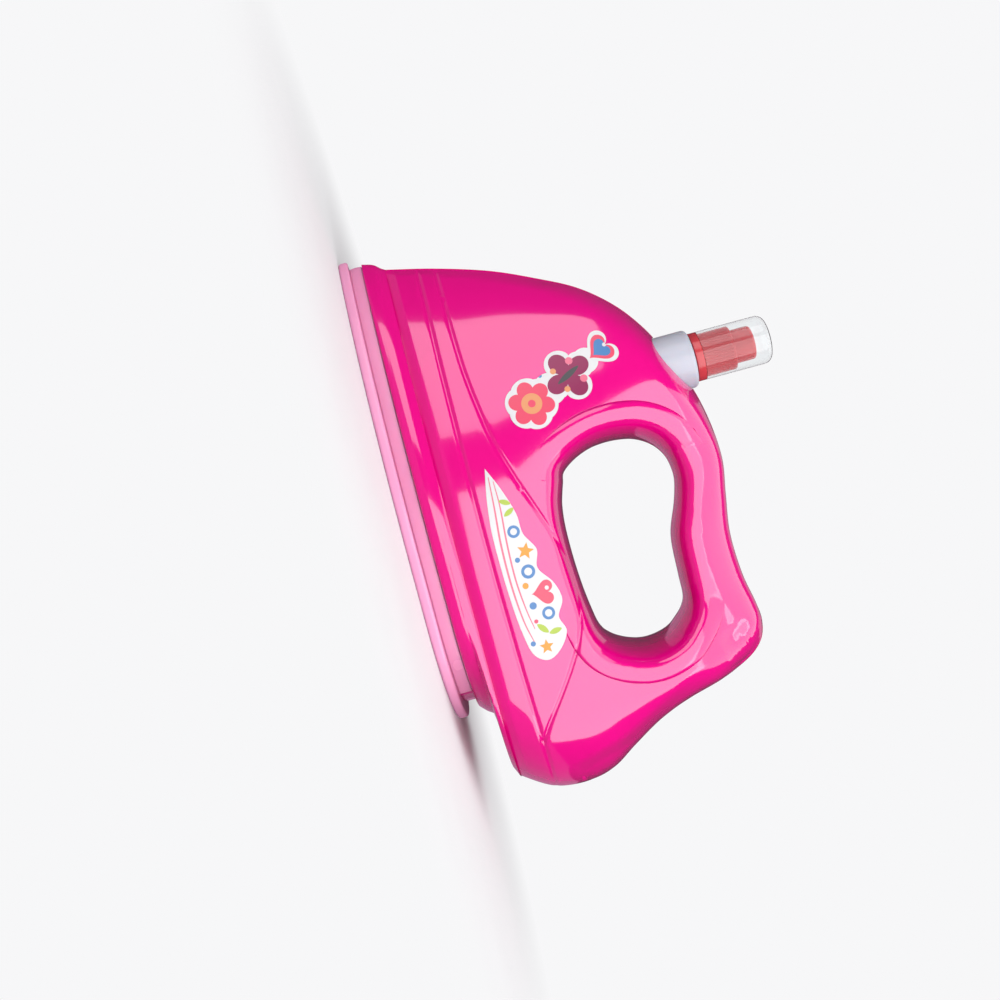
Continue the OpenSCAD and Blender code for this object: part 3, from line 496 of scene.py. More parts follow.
def lip_weight(x, z):
    """How much the lip stands out, by the direction from the middle of the hole."""
    turned = np.degrees(np.arctan2(z - HOLE_Z, x - HOLE_X))
    weight = np.zeros(x.shape)
    for middle, reach in LIP_ENDS:
        off = np.abs((turned - middle + 180) % 360 - 180)
        weight = np.maximum(weight, smoothstep((reach - off) / LIP_FADE))
    return weight


hole_rows = np.append(np.arange(0, SPOKE_N, THIN), 0)
HOLE_LINE = SPOKES[hole_rows, 2:]
spoke_length = np.linalg.norm(SPOKES[hole_rows, 2:] - SPOKES[hole_rows, :2], axis=1)
hole_drop = np.maximum(0, (HOLE_Z - HOLE_LINE[:, 1]) / (HOLE_H / 2))
HOLE_SOFT = np.minimum(LIP_W * (1 - LIP_FOOT_SHARE * hole_drop ** 2), spoke_length / 2)
HOLE_OUT = LIP_W * LIP_OUT_SHARE


def side_height(x, z):
    ends, top = shape_factor(x, z)
    distance, along = line_distance(HOLE_LINE, x, z)
    from_rim = np.maximum(0, -distance)
    soft_reach = np.interp(along * (len(HOLE_LINE) - 1), np.arange(len(HOLE_LINE)), HOLE_SOFT)
    crisp = ease(from_rim / WALL_REACH, WALL_POWER)
    edge = WALL_CRISP * crisp + (1 - WALL_CRISP) * ease(from_rim / soft_reach, 0.5)
    plate = LIP_RISE * lip_weight(x, z) * ease((HOLE_OUT - from_rim) / LIP_ROUND, 0.5)
    y = (half_width(x, (z - SEAT_Z) / RISE) * edge + plate * crisp) * ends * top
    return np.maximum(y - side_sink(x, z) * smoothstep(y / LINE_FADE), 0)


tries = np.array([[-60, 40], [0, 40], [60, 40], [20, 117]]) * MM
print("stands out", side_height(tries[:, 0], tries[:, 1]).round(4))

# %% [markdown]
# The field needs a net of triangles. A plain grid would saw through a slanting groove. So a few
# lines side by side along every groove, step, rim and bevel go into the net first, and a loose
# lattice fills the rest. A constrained Delaunay triangulation keeps each of them as edges.

# %% Lines and loops of the side view
LINE_STEP = 1.1 * MM
LATTICE = 1.6 * MM
BOTTLE_X = -40 * MM
BOTTLE_R = (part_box("water_bottle")[1].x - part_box("water_bottle")[0].x) / 2
BOTTLE_GAP = 0.3 * MM
CUT_R = BOTTLE_R + BOTTLE_GAP
CUT_STEPS = 60
CUT_SEARCH = 30 * MM
CUT_CLEAR = 0.3 * MM
HALVINGS = 36
FOOT_POINTS = 220
WELL_R = 2.9 * MM


def evenly(line, step=LINE_STEP):
    """The same line with its points at even distances."""
    length = np.append(0, np.cumsum(np.linalg.norm(np.diff(line, axis=0), axis=1)))
    at = np.linspace(0, length[-1], max(3, int(length[-1] / step) + 1))
    return np.stack([np.interp(at, length, line[:, 0]), np.interp(at, length, line[:, 1])], 1)


def beside(line, distance):
    """The same line moved to its right, by one distance or by one for each point."""
    v = np.gradient(line, axis=0)
    if np.allclose(line[0], line[-1]):
        v[0] = v[-1] = line[1] - line[-2]
    v = v / np.linalg.norm(v, axis=1)[:, None]
    return line + np.reshape(distance, (-1, 1)) * np.stack([v[:, 1], -v[:, 0]], 1)


def inside(loop, points):
    """Which points lie in a closed loop: those that it passes an odd number of times on one side."""
    odd = np.zeros(len(points), bool)
    x, z = points.T
    for a, b in zip(loop, np.roll(loop, -1, 0)):
        if a[1] != b[1]:
            spans = (a[1] > z) != (b[1] > z)
            odd ^= spans & (x < a[0] + (z - a[1]) / (b[1] - a[1]) * (b[0] - a[0]))
    return odd


def circle(centre, radius, count=36):
    a = 2 * np.pi * np.arange(count) / count
    return np.stack([centre[0] + radius * np.cos(a), centre[1] + radius * np.sin(a)], 1)


def bottle_cut():
    """Where the round opening for the bottle cuts the side, found by halving an interval."""
    x = BOTTLE_X - CUT_R * np.cos(np.pi * np.arange(CUT_STEPS + 1) / CUT_STEPS)
    target = np.sqrt(np.maximum(CUT_R ** 2 - (x - BOTTLE_X) ** 2, 0))
    high = top_z_at(x)
    low = high - CUT_SEARCH
    for _ in range(HALVINGS):
        middle = (low + high) / 2
        wide = side_height(x, middle) > target
        low, high = np.where(wide, middle, low), np.where(wide, high, middle)
    line = np.stack([x, high], 1)
    line[[0, -1], 1] = top_z_at(x[[0, -1]])
    return line


CROWN = evenly(SPOKES[:HEEL_I + 1, :2])
CUT_LINE = bottle_cut()
crown_nose = CROWN[CROWN[:, 0] < CUT_LINE[0, 0] - CUT_CLEAR]
crown_rear = CROWN[CROWN[:, 0] > CUT_LINE[-1, 0] + CUT_CLEAR]
foot_x = np.linspace(CROWN[-1, 0], CROWN[0, 0], FOOT_POINTS)
FOOT_LINE = np.stack([foot_x, np.full(len(foot_x), SEAT_Z)], 1)
OUTER_LOOP = np.vstack([crown_nose, CUT_LINE, crown_rear, FOOT_LINE[1:-1]])
HOLE_LOOP = evenly(HOLE_LINE)[:-1]
print("loops", len(OUTER_LOOP), "and", len(HOLE_LOOP), "points")

# %% [markdown]
# The lines stand closest together where the height changes fastest: at the rims, in the grooves
# and at the foot of the lip. Each list gives their distances in millimetres. The holes over the
# screws are loops too, but both sides share one net, so only the far side leaves them open.

# %% Net of the side
SHELL_SCREW_SHARES = [(0.094, 0.16), (0.187, 0.63), (0.439, 0.89), (0.86, 0.845), (0.972, 0.26),
                      (0.48, 0.25)]
SHELL_SCREWS = [(SHELL_X + a * FOOT_L, SEAT_Z + u * RISE) for a, u in SHELL_SCREW_SHARES]


CROWN_ROWS = (0.06, 0.2, 0.45, 0.8, 1.3, 1.9, 2.7, 3.7, 5.0, 6.6, 8.6)
HOLE_ROWS = (0.05, 0.18, 0.4, 0.75, 1.2, 1.8, 2.5, 3.3, 4.2, 5.2, 6.2, 7, 7.5, 8.1)
LIP_ROWS = (-4.2, -3, -2, -1.2, -0.7, -0.35, -0.15, -0.05, 0, 0.3)
GROOVE_ROWS = (-1.8, -1.25, -0.8, -0.4, 0, 0.4, 0.8, 1.25, 1.8)
REAR_ROWS = (-0.9, -0.35, 0.1, 0.7, 1.5, 2.6, 4, 5.4, 6.6, 7.2)
KNOB_ROWS = (-0.9, -0.35, 0.1, 0.7, 1.5, 2.6, 3.8, 4.7, 5.2)
FOOT_ROWS = (1, 2, 2.8, 3.2, 3.5, 3.8, 4.1, 4.5, 5.1, 6)
CUT_ROWS = (0.6, 1.3, 2.2, 3.4, 5, 7)
LATTICE_ROW = 0.866
NET_CLEAR = 0.45 * MM


def net_lines():
    """All the lines that the triangles must follow."""
    lines = [beside(CROWN, d * MM) for d in CROWN_ROWS]
    lines += [beside(evenly(HOLE_LINE), -d * MM) for d in HOLE_ROWS]
    lines += [beside(HOLE_LINE, -HOLE_OUT - d * MM) for d in LIP_ROWS]
    for line, rows in ((LEAF_LOW, GROOVE_ROWS), (LEAF_HIGH, GROOVE_ROWS), (REAR_STEP, REAR_ROWS),
                       (KNOB_STEP, KNOB_ROWS)):
        lines += [beside(evenly(line), d * MM) for d in rows]
    lines += [FOOT_LINE + (0, d * MM) for d in FOOT_ROWS]
    return lines + [CUT_LINE - (0, d * MM) for d in CUT_ROWS]


def lattice():
    """Points of a triangular lattice over the whole side."""
    rows = np.arange(SEAT_Z, SEAT_Z + 1.1 * RISE, LATTICE * LATTICE_ROW)
    columns = np.arange(OUTER_LOOP[:, 0].min(), OUTER_LOOP[:, 0].max(), LATTICE)
    x, z = np.meshgrid(columns, rows)
    x[::2] += LATTICE / 2
    return np.stack([x.ravel(), z.ravel()], 1)


def triangulate(loops, lines, loose, clear=NET_CLEAR):
    """Triangles that follow every loop and line, with loose points where nothing else is near."""
    points, edges, start = [], [], 0
    for loop in loops:
        n = len(loop)
        points.append(loop)
        edges += [(start + i, start + (i + 1) % n) for i in range(n)]
        start += n
    for line in lines:
        keep = inside(loops[0], line)
        for hole in loops[1:]:
            keep &= ~inside(hole, line)
        places = np.cumsum(keep) - 1 + start
        joined = [i for i in range(len(line) - 1) if keep[i] and keep[i + 1]]
        edges += [(int(places[i]), int(places[i + 1])) for i in joined]
        points.append(line[keep])
        start += int(keep.sum())
    fixed = np.vstack(points)
    cell = {(int(a), int(b)) for a, b in np.floor(fixed / clear)}
    free = [p for p in loose if not any((int(p[0] // clear) + i, int(p[1] // clear) + j) in cell
                                        for i in (-1, 0, 1) for j in (-1, 0, 1))]
    everything = np.vstack([fixed, np.array(free)]) / MM
    found = delaunay_2d_cdt([Vector(p) for p in everything], edges, [], 0, 1e-4)
    net = np.array([v[:] for v in found[0]]) * MM
    return net, np.array([f for f in found[2] if len(f) == 3])


net, triangles = triangulate([OUTER_LOOP, HOLE_LOOP] + [circle(c, WELL_R) for c in SHELL_SCREWS],
                             net_lines(), lattice())
middles = net[triangles].mean(axis=1)
kept = inside(OUTER_LOOP, middles) & ~inside(HOLE_LOOP, middles)
triangles, middles = triangles[kept], middles[kept]
print("net of", len(net), "points and", len(triangles), "triangles")

# %% [markdown]
# Each shell is a closed solid, so the net needs an outer and an inner height. Where two halves of a
# moulding meet, each edge is broken a little, so a fine V-shaped line shows. The surface's own
# slope gives the shading normals. That keeps the mirrored lamps smooth, however uneven the
# triangles are.

# %% Outer and inner height
SEAM_W = 0.35 * MM
SEAM_DEPTH = 0.22 * MM
SEAM_REACH = 1.3 * MM
SLOPE_STEP = 0.03 * MM
SLOPE_LIMIT = 2.5
RIM_STEP = 0.02 * MM
ON_RIM = 0.01 * MM
ON_CUT = 0.001 * MM


def slope(height, x, z):
    """Rise of a height field along x and along z."""
    low = np.maximum(z - SLOPE_STEP, SEAT_Z)
    along_x = (height(x + SLOPE_STEP, z) - height(x - SLOPE_STEP, z)) / (2 * SLOPE_STEP)
    return along_x, (height(x, z + SLOPE_STEP) - height(x, low)) / (z + SLOPE_STEP - low)


def rim_inward(x, z):
    """Distance to the nearest rim, and the direction away from it in the side view."""
    crown = line_distance(CROWN, x, z)[0]
    hole = -line_distance(HOLE_LINE, x, z)[0]
    both = []
    for line, sign in ((CROWN, 1), (HOLE_LINE, -1)):
        gx = line_distance(line, x + RIM_STEP, z)[0] - line_distance(line, x - RIM_STEP, z)[0]
        gz = line_distance(line, x, z + RIM_STEP)[0] - line_distance(line, x, z - RIM_STEP)[0]
        v = sign * np.stack([gx, gz], 1)
        both.append(v / np.maximum(np.linalg.norm(v, axis=1), 1e-12)[:, None])
    nearer = (crown < hole)[:, None]
    return np.minimum(crown, hole), np.where(nearer, both[0], both[1])


used = np.unique(triangles)
place = np.full(len(net), -1)
place[used] = np.arange(len(used))
net, triangles = net[used], place[triangles]
net_x, net_z = net.T
outer_y = side_height(net_x, net_z)
slope_x, slope_z = slope(side_height, net_x, net_z)
rim_distance, inward = rim_inward(net_x, net_z)
on_cut = np.zeros(len(net), bool)
for point in CUT_LINE[1:-1]:
    on_cut |= np.hypot(net_x - point[0], net_z - point[1]) < ON_CUT
on_rim = (rim_distance < ON_RIM) & ~on_cut
bore = np.sqrt(np.maximum(CUT_R ** 2 - (net_x - BOTTLE_X) ** 2, 0))
steep = np.minimum(np.sqrt(1 + slope_x ** 2 + slope_z ** 2), SLOPE_LIMIT)
inner_y = np.clip(np.maximum(outer_y - WALL * steep, bore), 0, outer_y)
inner_y[on_rim] = 0
inner_y[on_cut] = outer_y[on_cut] = bore[on_cut]
outer_y[on_rim] = SEAM_W
drawn_in = SEAM_DEPTH * np.clip(1 - rim_distance / SEAM_REACH, 0, 1)[:, None] * inward
inner_net = net + np.where(on_cut[:, None], 0, drawn_in)
inner_net[:, 1] = np.maximum(inner_net[:, 1], SEAT_Z)
bend = np.stack([-slope_x, np.ones(len(net)), -slope_z], 1)
bend[on_rim] = np.stack([-inward[on_rim, 0], np.zeros(on_rim.sum()), -inward[on_rim, 1]], 1)
bend /= np.linalg.norm(bend, axis=1)[:, None]
print("side stands out at most", round(float(outer_y.max()), 4))

# %% [markdown]
# With both heights known, a shell is put together from its outer faces, its inner faces and a strip
# along every edge that only one triangle has. Those edges stay sharp. The near shell covers the
# screw holes, and the far one leaves them open.

# %% Two shells
in_well = np.zeros(len(middles), bool)
for centre in SHELL_SCREWS:
    in_well |= np.hypot(*(middles - centre).T) < WELL_R


def open_edges(faces):
    """Edges that only one triangle has, in that triangle's direction."""
    both = np.vstack([faces[:, [0, 1]], faces[:, [1, 2]], faces[:, [2, 0]]])
    key = np.sort(both, axis=1)
    count = {}
    for k in map(tuple, key):
        count[k] = count.get(k, 0) + 1
    return [tuple(e) for e, k in zip(both, map(tuple, key)) if count[k] == 1]


def build_shell(name, node, side, faces):
    n = len(net)
    inner_of = np.where(on_cut, np.arange(n), np.arange(n) + n)
    points = np.vstack([np.column_stack([net_x, side * outer_y, net_z]),
                        np.column_stack([inner_net[:, 0], side * inner_y, inner_net[:, 1]])])
    rims = open_edges(faces)
    strips = [list(dict.fromkeys((b, a, inner_of[a], inner_of[b]))) for a, b in rims]
    strips = [s for s in strips if len(s) > 2]
    everything = [tuple(map(int, f)) for f in np.vstack([faces, inner_of[faces][:, ::-1]])]
    everything += [tuple(map(int, s)) for s in strips]
    if side > 0:
        everything = [f[::-1] for f in everything]
    mesh = bpy.data.meshes.new(name)
    mesh.from_pydata([tuple(p) for p in points], [], everything)
    sharp = {tuple(sorted(e)) for e in rims}
    sharp |= {tuple(sorted((inner_of[a], inner_of[b]))) for a, b in rims}
    marks = [tuple(sorted(edge.vertices)) in sharp for edge in mesh.edges]
    mesh.attributes.new("sharp_edge", "BOOLEAN", "EDGE").data.foreach_set("value", marks)
    normals = np.zeros((len(mesh.loops), 3))
    corners = np.array([v for f in everything[:len(faces)] for v in f])
    normals[:len(corners)] = bend[corners] * (1, side, 1)
    mesh.polygons.foreach_set("use_smooth", [True] * len(mesh.polygons))
    mesh.normals_split_custom_set(normals.tolist())
    shell = bpy.data.objects.new(name, mesh)
    scene_objects.link(shell)
    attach(shell, "root")
    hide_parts(node)
    return shell


left_shell = build_shell("left_shell_skin", "left_shell", -1, triangles)
right_shell = build_shell("right_shell_skin", "right_shell", 1, triangles[~in_well])
print("left shell faces", len(left_shell.data.polygons))

# %% [markdown]
# The screws that join the shells sit deep in round wells on the far side. The net leaves a round
# hole for each of them, and a short tube inside gives it its wall and floor.

# %% Screw wells
WELL_WALL = 1.5 * MM
WELL_FLOOR_Y = 6 * MM
WELL_FLOOR_T = 1.5 * MM
WELL_SUNK = 1.2 * MM
WELL_BORE = 1.6 * MM
WELL_STEP = 0.5 * MM
RING_N = 36


def under_the_skin(x, z):
    """How far out the well's rim may reach here without standing proud of the side."""
    skin = min(float(side_height(np.array([x + d]), np.array([z]))[0])
               for d in (-WELL_STEP, 0, WELL_STEP))
    return max(WELL_FLOOR_Y + WELL_STEP, skin - WELL_SUNK)


well_points, well_faces = [], []
for x, z in SHELL_SCREWS:
    foot = [(WELL_R + WELL_WALL, WELL_FLOOR_Y - WELL_FLOOR_T), (WELL_BORE, WELL_FLOOR_Y - WELL_FLOOR_T),
            (WELL_BORE, WELL_FLOOR_Y), (WELL_R, WELL_FLOOR_Y)]
    n, start = len(foot) + 2, len(well_points)
    for cx, cz in circle((0, 0), 1, RING_N):
        rim = [(r, under_the_skin(x + r * cx, z + r * cz)) for r in (WELL_R, WELL_R + WELL_WALL)]
        well_points += [(x + r * cx, y, z + r * cz) for r, y in rim + foot]
    for i in range(RING_N):
        a, b = start + i * n, start + (i + 1) % RING_N * n
        well_faces += [(a + k, b + k, b + (k + 1) % n, a + (k + 1) % n) for k in range(n)]
screw_wells = make_piece("screw_wells", well_points, well_faces, "root")
print("wells", len(SHELL_SCREWS))

# %% [markdown]
# Two die-cut stickers lie on the side: one on the nose, one between the grooves. Their motifs are
# closed loops in the side view. The same triangulation turns them into one mesh, and each triangle
# takes the colour of the last motif that it lies in. The side's height field lays it on the curve.

# %% Sticker shapes
DOT_POINTS = 20
SPOT_POINTS = 16


def turned(points, angle):
    a = math.radians(angle)
    return np.asarray(points) @ np.array([[math.cos(a), math.sin(a)], [-math.sin(a), math.cos(a)]])


def petals(centre, radius, count, notch, angle=0, points=96):
    """A flower or, with few petals and a deep notch, a butterfly or a star."""
    a = 2 * np.pi * np.arange(points) / points
    r = radius * (1 - notch * (1 - np.abs(np.cos(a * count / 2)) ** 0.8))
    return np.array(centre) * MM + turned(np.stack([np.cos(a), np.sin(a)], 1) * r[:, None] * MM, angle)


def disc(centre, radius, points=32):
    return petals(centre, radius, 2, 0, 0, points)


def oval(centre, length, width, angle, points=32):
    a = 2 * np.pi * np.arange(points) / points
    shape = np.stack([np.cos(a) * length / 2, np.sin(a) * width / 2 * (1 - 0.35 * np.cos(a) ** 2)], 1)
    return np.array(centre) * MM + turned(shape * MM, angle)


def heart(centre, size, angle, grown=0.0, points=64):
    a = 2 * np.pi * np.arange(points) / points
    height = 13 * np.cos(a) - 5 * np.cos(2 * a) - 2 * np.cos(3 * a) - np.cos(4 * a)
    shape = np.stack([16 * np.sin(a) ** 3, height], 1)
    return np.array(centre) * MM + turned(shape * (size / 17 + grown / 14) * MM, angle)


def star(centre, radius, angle):
    a = np.pi * np.arange(10) / 5
    r = np.where(np.arange(10) % 2, 0.45, 1) * radius
    return np.array(centre) * MM + turned(np.stack([np.cos(a), np.sin(a)], 1) * r[:, None] * MM, angle)


def ribbon(points, width):
    """A strip of even width along a smooth line, as one closed loop."""
    line = evenly(smooth_line(points), 1.2 * MM)
    taper = (width / 2 * MM) * np.sin(np.pi * np.linspace(0.06, 0.94, len(line))) ** 0.5
    return np.vstack([beside(line, taper), beside(line, -taper)[::-1]])


print("petals of a flower", len(petals((0, 0), 1, 6, 0.3)), "points")

# %% [markdown]
# The nose sticker has a flower, a blossom with four petals and a heart. The panel's sticker has
# thin ribbons with rings, leaves, stars and a heart on them. Each row is a loop and its colour,
# and a later row lies over an earlier one.

# %% Sticker motifs
FLOWER, BLOSSOM, NOSE_HEART = (-37.2, 60.6), (-44.6, 77.4), (-51.6, 92.6)
NOSE_OUTLINES = [petals(FLOWER, 10.4, 6, 0.08, 12), petals(BLOSSOM, 11.2, 4, 0.30, 28),
                 heart(NOSE_HEART, 6.2, 28, 1.3), disc((-41, 69), 6.5), disc((-48.5, 85.5), 5.2)]
NOSE_MOTIFS = [
    (petals(FLOWER, 9.1, 6, 0.30, 12), "coral"), (disc(FLOWER, 4.1), "peach"),
    (disc(FLOWER, 1.5, DOT_POINTS), "coral"), (petals(BLOSSOM, 9.9, 4, 0.62, 28), "plum"),
    (oval(BLOSSOM, 11, 2.4, 118), "grey"), (disc((-50.0, 79.2), 1.5, DOT_POINTS), "rose"),
    (disc((-41.8, 83.0), 1.5, DOT_POINTS), "rose"), (disc((-47.4, 72.0), 1.2, DOT_POINTS), "peach"),
    (disc((-39.2, 75.6), 1.2, DOT_POINTS), "peach"), (heart(NOSE_HEART, 6.0, 28), "coral"),
    (heart((-51.6, 92.7), 4.2, 28), "blue"), (disc((-52.9, 94.6), 0.8, SPOT_POINTS), "white"),
    (disc((-42.2, 88.2), 0.9, SPOT_POINTS), "coral"), (disc((-47.0, 66.6), 0.8, SPOT_POINTS), "blue")]
LEAF_OUTLINE = smooth_line([
    (-17.5, 36.5), (-8, 40.5), (2, 43.5), (10, 44), (17, 47.5), (24, 46), (31, 50.5), (38, 52),
    (44, 49), (50, 50.5), (56, 46.5), (58.6, 41), (55, 36), (46, 34), (34, 33), (20, 32.6),
    (6, 32.8), (-6, 34.2), (-17.5, 36.5)])[:-1]
LONG_RIBBON = [(-14, 36.9), (-2, 36.1), (12, 34.9), (28, 34.7), (42, 35.7), (51, 37.6)]
SHORT_RIBBON = [(-12, 38.3), (-2, 38.3), (12, 37.2), (26, 36.8), (38, 37.7), (46, 39)]
LEAF_MOTIFS = [
    (ribbon(LONG_RIBBON, 0.8), "rose"), (ribbon(SHORT_RIBBON, 0.7), "rose"),
    (oval((-3.2, 40.4), 4.6, 2.0, 62), "lime"), (oval((0.8, 41.0), 4.8, 2.0, 118), "lime"),
    (disc((8.4, 40.8), 2.4), "blue"), (disc((8.4, 40.8), 1.3, DOT_POINTS), "white"),
    (star((16.6, 43.2), 3.4, 14), "orange"), (disc((24.4, 42.2), 2.7), "blue"),
    (disc((24.4, 42.2), 1.5, DOT_POINTS), "white"), (disc((19.2, 39.4), 1.0, SPOT_POINTS), "blue"),
    (heart((33.6, 46.0), 4.9, -6), "coral"), (disc((32.2, 47.4), 0.8, SPOT_POINTS), "white"),
    (disc((29.4, 39.8), 1.2, SPOT_POINTS), "orange"), (disc((41.6, 45.6), 2.5), "blue"),
    (disc((41.6, 45.6), 1.4, DOT_POINTS), "white"), (disc((37.4, 40.6), 1.4, SPOT_POINTS), "blue"),
    (oval((46.6, 42.0), 5.4, 2.3, 40), "lime"), (oval((48.8, 46.4), 5.0, 2.2, 96), "lime"),
    (disc((43.4, 40.2), 0.8, SPOT_POINTS), "coral"), (star((53.6, 41.6), 2.9, 30), "orange"),
    (disc((51.2, 36.9), 1.0, SPOT_POINTS), "blue")]
print("motifs", len(NOSE_MOTIFS), "and", len(LEAF_MOTIFS))

# %% [markdown]
# A sticker is a thin solid that follows the side. Its top and its underside have the same
# triangles, and the colours are printed on the top only.

# %% Stickers on the side
STICKER_LIFT = 0.04 * MM
STICKER_T = 0.14 * MM
STICKER_LATTICE = 1.1 * MM
STICKER_CLEAR = 0.4 * MM
STICKER_SHARP = math.radians(50)
PRINT_COLOURS = {"white": (0.50, 0.50, 0.51), "coral": (0.54, 0.05, 0.10), "peach": (0.52, 0.22, 0.10),
                 "grey": (0.045, 0.045, 0.05), "plum": (0.19, 0.013, 0.065), "rose": (0.54, 0.12, 0.19),
                 "blue": (0.05, 0.15, 0.34), "lime": (0.29, 0.38, 0.04), "orange": (0.60, 0.22, 0.02)}
PRINTS = list(PRINT_COLOURS)


def build_sticker(name, outlines, motifs):
    loops = outlines + [loop for loop, colour in motifs]
    low, high = np.vstack(outlines).min(axis=0), np.vstack(outlines).max(axis=0)
    x, z = np.meshgrid(*(np.arange(low[k], high[k], STICKER_LATTICE) for k in (0, 1)))
    points, faces = triangulate(loops, [], np.stack([x.ravel(), z.ravel()], 1), STICKER_CLEAR)
    centres = points[faces].mean(axis=1)
    covered = np.zeros(len(faces), bool)
    for loop in outlines:
        covered |= inside(loop, centres)
    colours = np.zeros(len(faces), int)
    for loop, colour in motifs:
        colours[inside(loop, centres)] = PRINTS.index(colour)
    faces, colours = faces[covered], colours[covered]
    used = np.unique(faces)
    place = np.full(len(points), -1)
    place[used] = np.arange(len(used))
    points, faces = points[used], place[faces]
    n = len(points)
    y = side_height(*points.T) + STICKER_LIFT
    top = np.column_stack([points[:, 0], -y - STICKER_T, points[:, 1]])
    under = np.column_stack([points[:, 0], -y, points[:, 1]])
    rims = open_edges(faces)
    everything = list(faces) + list(faces[:, ::-1] + n) + [(b, a, a + n, b + n) for a, b in rims]
    piece = make_piece(name, np.vstack([top, under]), everything, "root", STICKER_SHARP)
    return piece, list(colours) + [0] * (len(faces) + len(rims))


nose_sticker, nose_colours = build_sticker("nose_sticker", NOSE_OUTLINES, NOSE_MOTIFS)
leaf_sticker, leaf_colours = build_sticker("leaf_sticker", [LEAF_OUTLINE], LEAF_MOTIFS)
print("sticker faces", len(nose_sticker.data.polygons), len(leaf_sticker.data.polygons))

# %% [markdown]
# The base follows a boat-shaped outline: pointed at the nose, widest behind the middle, rounded
# at the heel. The skirt, the light ring and the sole all use it, each drawn in by its own amount,
# so one function lofts a stack of these outlines into a closed solid.

# %% Boat outline
SOLE_LOW, SOLE_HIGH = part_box("sole_plate")
SOLE_X, SOLE_HEEL, SOLE_W = SOLE_LOW.x, SOLE_HIGH.x, SOLE_HIGH.y - SOLE_LOW.y
FOOT_HEEL = SHELL_X + FOOT_L
BOAT_STEPS = 110


def boat(nose, heel, width):
    """The outline, counter-clockwise from the nose."""
    x = nose + (heel - nose) * (1 - np.cos(np.pi * np.arange(BOAT_STEPS + 1) / BOAT_STEPS)) / 2
    y = (width / 2 * ease((x - nose) / (FOOT_L * FRONT_LEN_SHARES[0][1]), FRONT_POINT_SHARES[0][1])
         * ease((heel - x) / (FOOT_L * REAR_LEN_SHARES[0][1]), 0.5))
    lower = np.stack([x, -y], 1)
    upper = np.stack([x, y], 1)[1:-1][::-1]
    return np.vstack([lower, upper])


def boat_loft(name, levels, body="root", close=True, angle=SHARP_ANGLE):
    """A solid through levels of (nose, heel, width, height); close joins the last to the first."""
    rows = [np.column_stack([boat(n, h, w), np.full(2 * BOAT_STEPS, z)]) for n, h, w, z in levels]
    m = 2 * BOAT_STEPS
    faces = []
    for k in range(len(rows) if close else len(rows) - 1):
        a, b = k * m, (k + 1) % len(rows) * m
        faces += [(a + i, a + (i + 1) % m, b + (i + 1) % m, b + i) for i in range(m)]
    if not close:
        faces += [tuple(range(m))[::-1], tuple(range((len(rows) - 1) * m, len(rows) * m))]
    return make_piece(name, np.vstack(rows), faces, body, angle)


print("sole", round(SOLE_HEEL - SOLE_X, 4), "by", round(SOLE_W, 4))

# %% [markdown]
# The skirt is a rounded band that swells out over the light ring and runs back in to meet the
# shells. At the heel it sweeps up and out into the overhanging heel's flat underside.

# %% Skirt
LIGHT_Z = SOLE_HIGH.z
SKIRT_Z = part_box("light_ring")[1].z
SKIRT_SKIN = 0.12 * MM
SKIRT_H = SEAT_Z + SKIRT_SKIN - SKIRT_Z
SKIRT_INSET = 2.6 * MM
SKIRT_BULGE = 1.8 * MM
SKIRT_FOOT_SHARE = 0.3
SKIRT_WALL = 3 * MM
# How far up the skirt, and how far the nose and the heel have come from the sole's to the body's.
SKIRT_SHARES = [(0.00, 0.00, 0.00), (0.30, 0.15, 0.00), (0.60, 0.40, 0.06), (0.72, 0.60, 0.35),
                (0.80, 0.75, 0.86), (1.00, 1.00, 1.00)]
SKIRT_LEVELS = 30


def skirt_level(share):
    table = np.array(SKIRT_SHARES)
    nose_t = float(curve_through(table[:, [0, 1]])(share))
    heel_t = float(np.interp(share, table[:, 0], table[:, 2]))
    nose = SOLE_X + SKIRT_INSET + (SHELL_X - SOLE_X - SKIRT_INSET) * nose_t
    heel = (SOLE_HEEL - SKIRT_INSET * (1 - min(1, share / SKIRT_FOOT_SHARE))
            + (FOOT_HEEL - SOLE_HEEL) * heel_t)
    side = math.sin(math.pi * min(1, max(0, share)) ** 0.8) ** 0.7
    risen = smoothstep(share / SKIRT_FOOT_SHARE)
    foot = (SOLE_W - 2 * SKIRT_INSET) * (1 - risen) + WAIST_W * risen
    return nose, heel, float(foot + 2 * SKIRT_BULGE * side), SKIRT_Z + share * SKIRT_H


skirt_rows = [skirt_level(i / (SKIRT_LEVELS - 1)) for i in range(SKIRT_LEVELS)]
inset_rows = [(n + SKIRT_WALL, h - SKIRT_WALL, w - 2 * SKIRT_WALL, z) for n, h, w, z in skirt_rows[::-1]]
proud_rows = [(n - SKIRT_SKIN, h + SKIRT_SKIN, w + 2 * SKIRT_SKIN, z) for n, h, w, z in skirt_rows]
skirt = boat_loft("skirt", proud_rows + inset_rows, "root")
print("skirt levels", SKIRT_LEVELS)

# %% [markdown]
# The light ring is a band of milky plastic under the skirt. It stops short of the heel. The toy's
# lamps stand behind it here, but whether the real one glows is a guess.

# %% Light ring
RING_INSET = 3.2 * MM
RING_T = 2.4 * MM
RING_GAP = 13 * MM
RING_EDGE = 0.5 * MM
RING_BULGE = 0.15 * MM


def ring_level(inset, z):
    return SOLE_X + inset, SOLE_HEEL - inset, SOLE_W - 2 * inset, z


